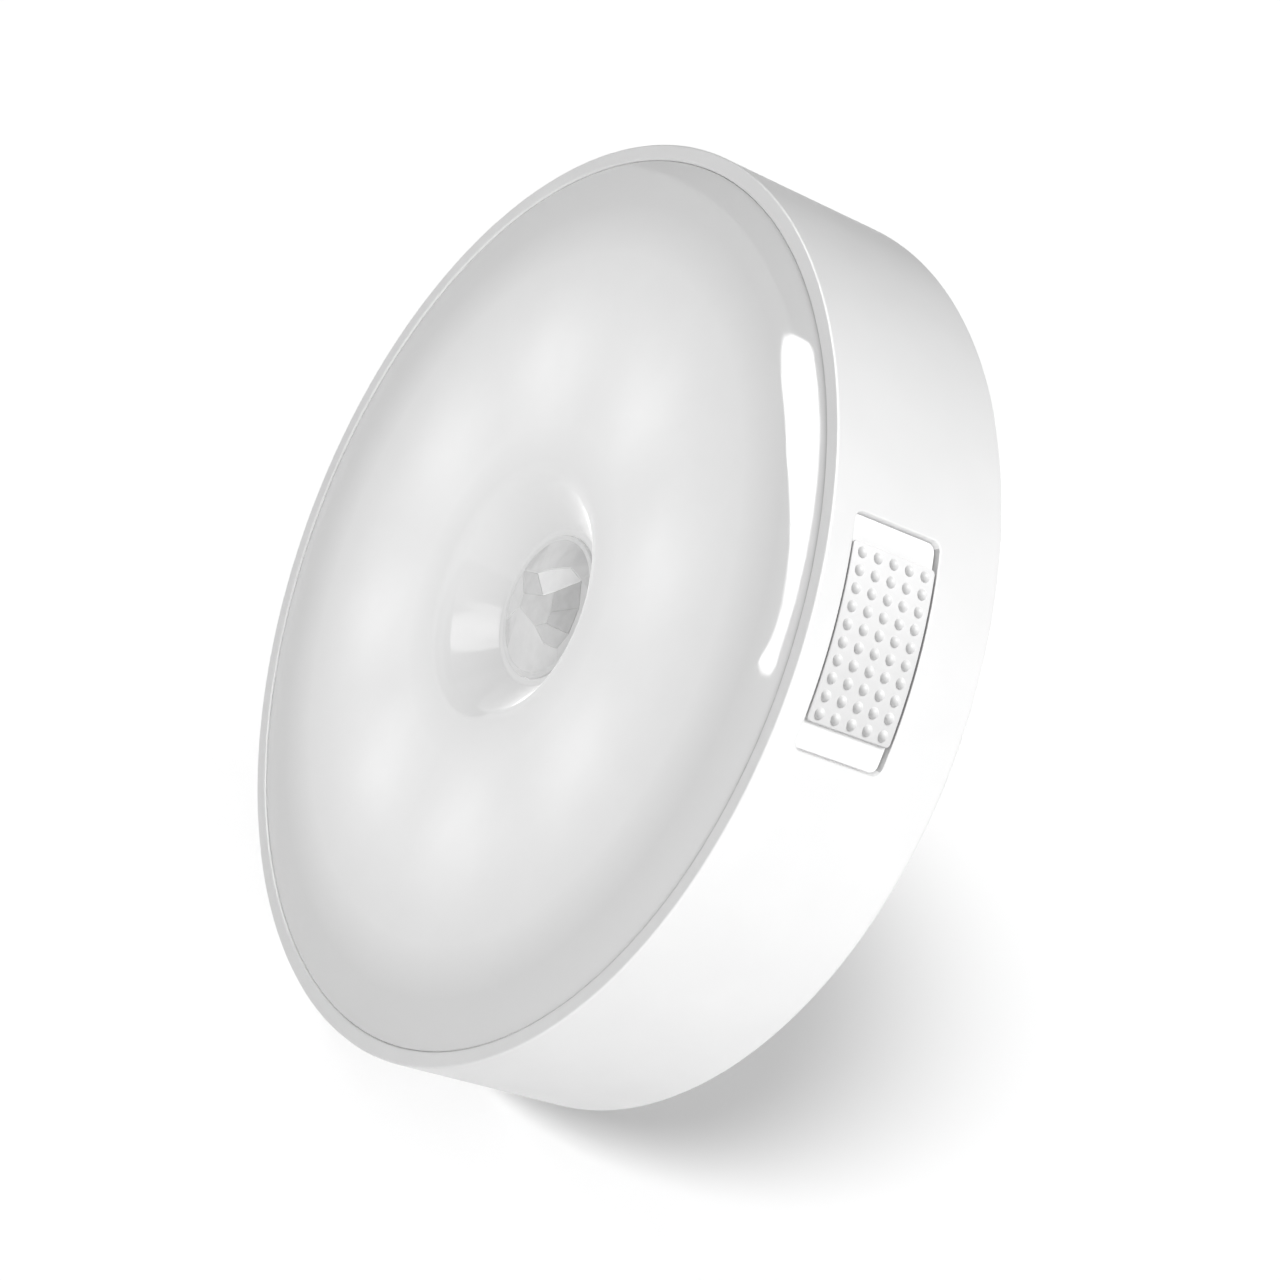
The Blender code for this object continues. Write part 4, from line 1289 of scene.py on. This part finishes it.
# Materials of the solids that stay in view, by the record's slot
node_looks = {
    "white_shell": shell_looks[0],
    "slider_white": slider_look,
    "frosted": moulded("milky_plain", cover_tone, 0.2),
    "lens_plastic": lens_looks[0],
    "dark_plastic": moulded("matt_black", (0.030, 0.030, 0.032), 0.5, drift=0.25, blotch=0.002),
    "can_metal": metal("drawn_can", (0.68, 0.67, 0.64), 0.28, stretch=(1.0, 6.0, 1.0)),
    "board_white": moulded("solder_mask", (0.80, 0.81, 0.80), 0.42, drift=0.05, blotch=0.003),
    "led_yellow": moulded("phosphor", (0.90, 0.80, 0.38), 0.45, drift=0.10, blotch=0.0005),
    "led_white": moulded("pale_phosphor", (0.88, 0.87, 0.80), 0.45, drift=0.08, blotch=0.0005),
    "screw_steel": metal("zinc_screw", (0.55, 0.55, 0.56), 0.32),
    "cell_foil": metal("foil_pouch", (0.62, 0.63, 0.66), 0.35, **foil),
    "foam": moulded("open_foam", (0.10, 0.10, 0.11), 0.92, **pores),
    "red_wire": moulded("red_sleeve", (0.55, 0.03, 0.02), 0.42, drift=0.15, blotch=0.001),
    "black_wire": moulded("black_sleeve", grey(0.02), 0.42, drift=0.3, blotch=0.001),
    "magnet_nickel": nickel,
    "port_steel": sleeve_steel,
    "clear_plastic": pipe_look,
}


def dress_nodes():
    """Gives every solid that stays in view its material by the record's slot."""
    for part in frame["record"]["subparts"]:
        obj = frame["nodes"][part["node"]]
        look = node_looks[part["material_slot"]]
        if not obj.material_slots:
            obj.data.materials.append(look)
        for entry in obj.material_slots:
            entry.material = look


# Stage


def bearing(azimuth, elevation):
    """Direction seen from the object. Azimuth 0 is its front, 90 is +X."""
    a, e = radians(azimuth), radians(elevation)
    return Vector((sin(a) * cos(e), -cos(a) * cos(e), sin(e)))


def lamp(name, kind, heading, distance=0.0):
    """Lamp that shines at the origin from a heading."""
    obj = add_object(name, bpy.data.lights.new(name, kind))
    away = bearing(*heading)
    obj.location = away * distance
    obj.rotation_euler = away.to_track_quat("Z", "Y").to_euler()
    return obj


def area_light(name, heading, size, level):
    """Soft round light. level is what a white surface that faces it gets."""
    obj = lamp(name, "AREA", heading, lamp_distance)
    obj.data.shape = "DISK"
    obj.data.size = size
    obj.data.energy = pi**2 * lamp_distance**2 * level
    obj.visible_camera = False
    return obj


def sun_light(name, heading, spread, level):
    """Even light over the whole floor. level is what the white floor gets of it."""
    obj = lamp(name, "SUN", heading)
    obj.data.angle = radians(spread)
    obj.data.energy = pi * level / sin(radians(heading[1]))
    return obj


def softbox(name, corners, level, receivers):
    """Flat lit panel that shows only in the reflections of some pieces."""
    mesh = bpy.data.meshes.new(name)
    mesh.from_pydata(corners, [], [tuple(range(len(corners)))])
    obj = add_object(name, mesh)
    graph = Graph(bpy.data.materials.new(name))
    graph.nodes.clear()
    graph.add("OutputMaterial", Surface=graph.add("Emission", Strength=level).outputs[0])
    mesh.materials.append(graph.owner)
    obj.visible_camera = False
    obj.visible_diffuse = False
    obj.visible_shadow = False
    obj.visible_transmission = False
    obj.light_linking.receiver_collection = receivers


def facing(outline, distance, heading):
    """Corners of an outline on a plane that faces the object from a heading."""
    toward = bearing(*heading)
    aside = radians(heading[0])
    across = Vector((cos(aside), sin(aside), 0.0))
    up = Vector((-toward.x * toward.z, -toward.y * toward.z, 1.0 - toward.z**2)).normalized()
    return [toward * distance + across * a + up * b for a, b in outline]


def group(name, members, left_out=False):
    """Light linking group of the members, or of all pieces but them."""
    made = bpy.data.collections.new(name)
    for obj in members:
        made.objects.link(obj)
    if left_out:
        for entry in made.collection_objects:
            entry.light_linking.link_state = "EXCLUDE"
    return made


# Outlines of the lit panels, in metres from where their heading meets them
shoulder_outline = (
    (0.0128, 0.0266), (0.0157, 0.0286), (0.0170, 0.0288), (0.0197, 0.0273), (0.0237, 0.0247),
    (0.0270, 0.0215), (0.0300, 0.0179), (0.0326, 0.0139), (0.0348, 0.0095), (0.0365, 0.0047),
    (0.0374, 0.0030), (0.0371, 0.0019), (0.0359, 0.0011), (0.0333, 0.0002), (0.0306, 0.0001),
    (0.0314, 0.0019), (0.0320, 0.0041), (0.0311, 0.0072), (0.0290, 0.0096), (0.0267, 0.0117),
    (0.0225, 0.0141), (0.0183, 0.0162), (0.0163, 0.0181), (0.0132, 0.0208), (0.0119, 0.0235),
    (0.0117, 0.0249),
)
funnel_outline = (
    (0.005, 0.172), (0.037, 0.165), (0.070, 0.150), (0.119, 0.152), (0.164, 0.146),
    (0.215, 0.133), (0.239, 0.121), (0.272, 0.106), (0.262, 0.125), (0.200, 0.152),
    (0.137, 0.170), (0.075, 0.179), (0.018, 0.182),
)
patch_outline = (
    (0.068, 0.179), (0.072, 0.174), (0.130, 0.162), (0.187, 0.150), (0.197, 0.151), (0.140, 0.168),
)
edge_outline = ((-0.30, -0.17), (0.30, -0.17), (0.30, 0.17), (-0.30, 0.17))
front_heading = (-25.0, 12.0)
upper_heading = (-15.0, 42.0)

# Lit panels: outline, distance, heading, level, group that mirrors them
panels = {
    "shoulder_panel": (shoulder_outline, 0.035, front_heading, 10.0, "cover"),
    "funnel_panel": (funnel_outline, 0.28, front_heading, 3.0, "cover"),
    "funnel_patch": (patch_outline, 0.278, front_heading, 5.0, "cover"),
    "edge_panel": (edge_outline, 0.5, upper_heading, 7.0, "shell"),
}

# Lamps: heading, diameter, level, group lit, group that shades, seen in reflections
lamp_distance = 0.9
lamps = {
    "back_fill": ((200.0, 5.0), 0.5, 0.35, "pieces", None, True),
    "face_fill": ((-10.0, 4.0), 0.5, 0.12, "pieces", None, False),
    "key": ((75.0, 37.0), 0.5, 0.93, "keyed", None, True),
    "slider_key": ((120.0, 62.5), 0.3, 1.05, "slider", None, True),
    "cover_fill": ((-20.0, -12.0), 0.5, 0.148, "cover", "pieces", False),
}

# Suns that light the floor alone: heading, angular size, level, group that shades
suns = {
    "floor_key": ((32.0, 36.0), 15.0, 0.55, "board"),
    "floor_fill": ((0.0, 90.0), 120.0, 0.46, "floor"),
}

camera_lens = 89.606
camera_sensor = 36.0
camera_clips = (0.01, 50.0)
camera_place = (0.210248, -0.157175, 0.084709)
camera_axes = (
    (0.361099, 0.779878, 0.51127),
    (-0.527577, -0.281235, 0.801604),
    (0.768941, -0.559193, 0.309892),
)

table_reach = 10.0
table_gap = 0.00002
table_roughness = 0.9
table_tone = 0.90
table_bounce = 0.70
sky_level = 0.12
sky_mirrored = 0.40
sky_seen = 1.05


def camera():
    """Camera in front and to the right, a little above, and rolled."""
    data = bpy.data.cameras.new("camera")
    data.lens = camera_lens
    data.sensor_width = camera_sensor
    data.clip_start, data.clip_end = camera_clips
    obj = add_object("camera", data)
    axes = Matrix(camera_axes).transposed().to_4x4()
    obj.matrix_world = Matrix.Translation(camera_place) @ axes
    bpy.context.scene.camera = obj


def table():
    """Pale floor just under the light, a little darker in the light that it throws back."""
    level = -outer_radius - table_gap
    signs = ((-1, -1), (1, -1), (1, 1), (-1, 1))
    corners = [(x * table_reach, y * table_reach, level) for x, y in signs]
    mesh = bpy.data.meshes.new("table")
    mesh.from_pydata(corners, [], [(0, 1, 2, 3)])
    obj = add_object("table", mesh)
    graph = Graph(bpy.data.materials.new("table_white"))
    bounced = graph.add("LightPath").outputs["Is Diffuse Ray"]
    tones = graph.blend(bounced, grey(table_tone), grey(table_bounce))
    look = graph.finish(Base_Color=tones, Roughness=table_roughness, Specular_IOR_Level=0.0)
    mesh.materials.append(look)
    return obj


def sky():
    """Even pale surroundings: dim as a light, brighter in reflections, white to the camera."""
    world = bpy.data.worlds.new("studio")
    bpy.context.scene.world = world
    graph = Graph(world)
    path = graph.add("LightPath")
    level = sky_level
    for ray, seen in (("Is Camera Ray", sky_seen), ("Is Glossy Ray", sky_mirrored)):
        level = graph.maths("MULTIPLY_ADD", path.outputs[ray], seen - sky_level, level)
    graph.fill(graph.nodes["Background"], Color=(1.0, 1.0, 1.0), Strength=level)


def lights(floor, shell, cover, lens, slider):
    """Lamps, suns and lit panels, each for its own group of pieces."""
    groups = {
        None: None,
        "floor": group("lit_floor", [floor]),
        "pieces": group("lit_pieces", [floor], left_out=True),
        "keyed": group("lit_by_key", [floor, slider], left_out=True),
        "slider": group("lit_slider", [slider]),
        "cover": group("lit_cover", [cover, lens]),
        "shell": group("lit_shell", [shell]),
        "board": group("floor_blocker", [frame["nodes"]["light_board"]]),
    }
    for name, (heading, size, level, lit, shade, mirrored) in lamps.items():
        obj = area_light(name, heading, size, level)
        obj.visible_glossy = mirrored
        obj.light_linking.receiver_collection = groups[lit]
        obj.light_linking.blocker_collection = groups[shade]
    for name, (heading, spread, level, shade) in suns.items():
        obj = sun_light(name, heading, spread, level)
        obj.light_linking.receiver_collection = groups["floor"]
        obj.light_linking.blocker_collection = groups[shade]
    for name, (outline, distance, heading, level, mirroring) in panels.items():
        softbox(name, facing(outline, distance, heading), level, groups[mirroring])


dress_nodes()
shell = dress(housing_shell(), shell_looks, "light", ["housing"])
cover = dress(cover_dome(), [cover_look()], "light", ["diffuser_cover"])
lens = dress(sensor_lens(), lens_looks, "light", ["pir_lens"])
slider = dress(slider_cap(), [slider_look], "slider", ["switch_slider"])
# Black strip riding on the slider, painted shade in its rear gap
dress(slider_shade_strip(), [shade_strip_look], "slider", [])
for side, turn in zip(("upper", "lower"), magnet_turns):
    disc = magnet("magnet_disc_" + side, turn)
    dress(disc, [nickel], "light", ["magnet_" + side])
dress(port_sleeve(), [sleeve_steel], "light", ["charging_port"])
dress(indicator_window(), [pipe_look], "light", ["indicator_pipe"])

camera()
bpy.context.scene.view_settings.view_transform = "Standard"
sky()
lights(table(), shell, cover, lens, slider)
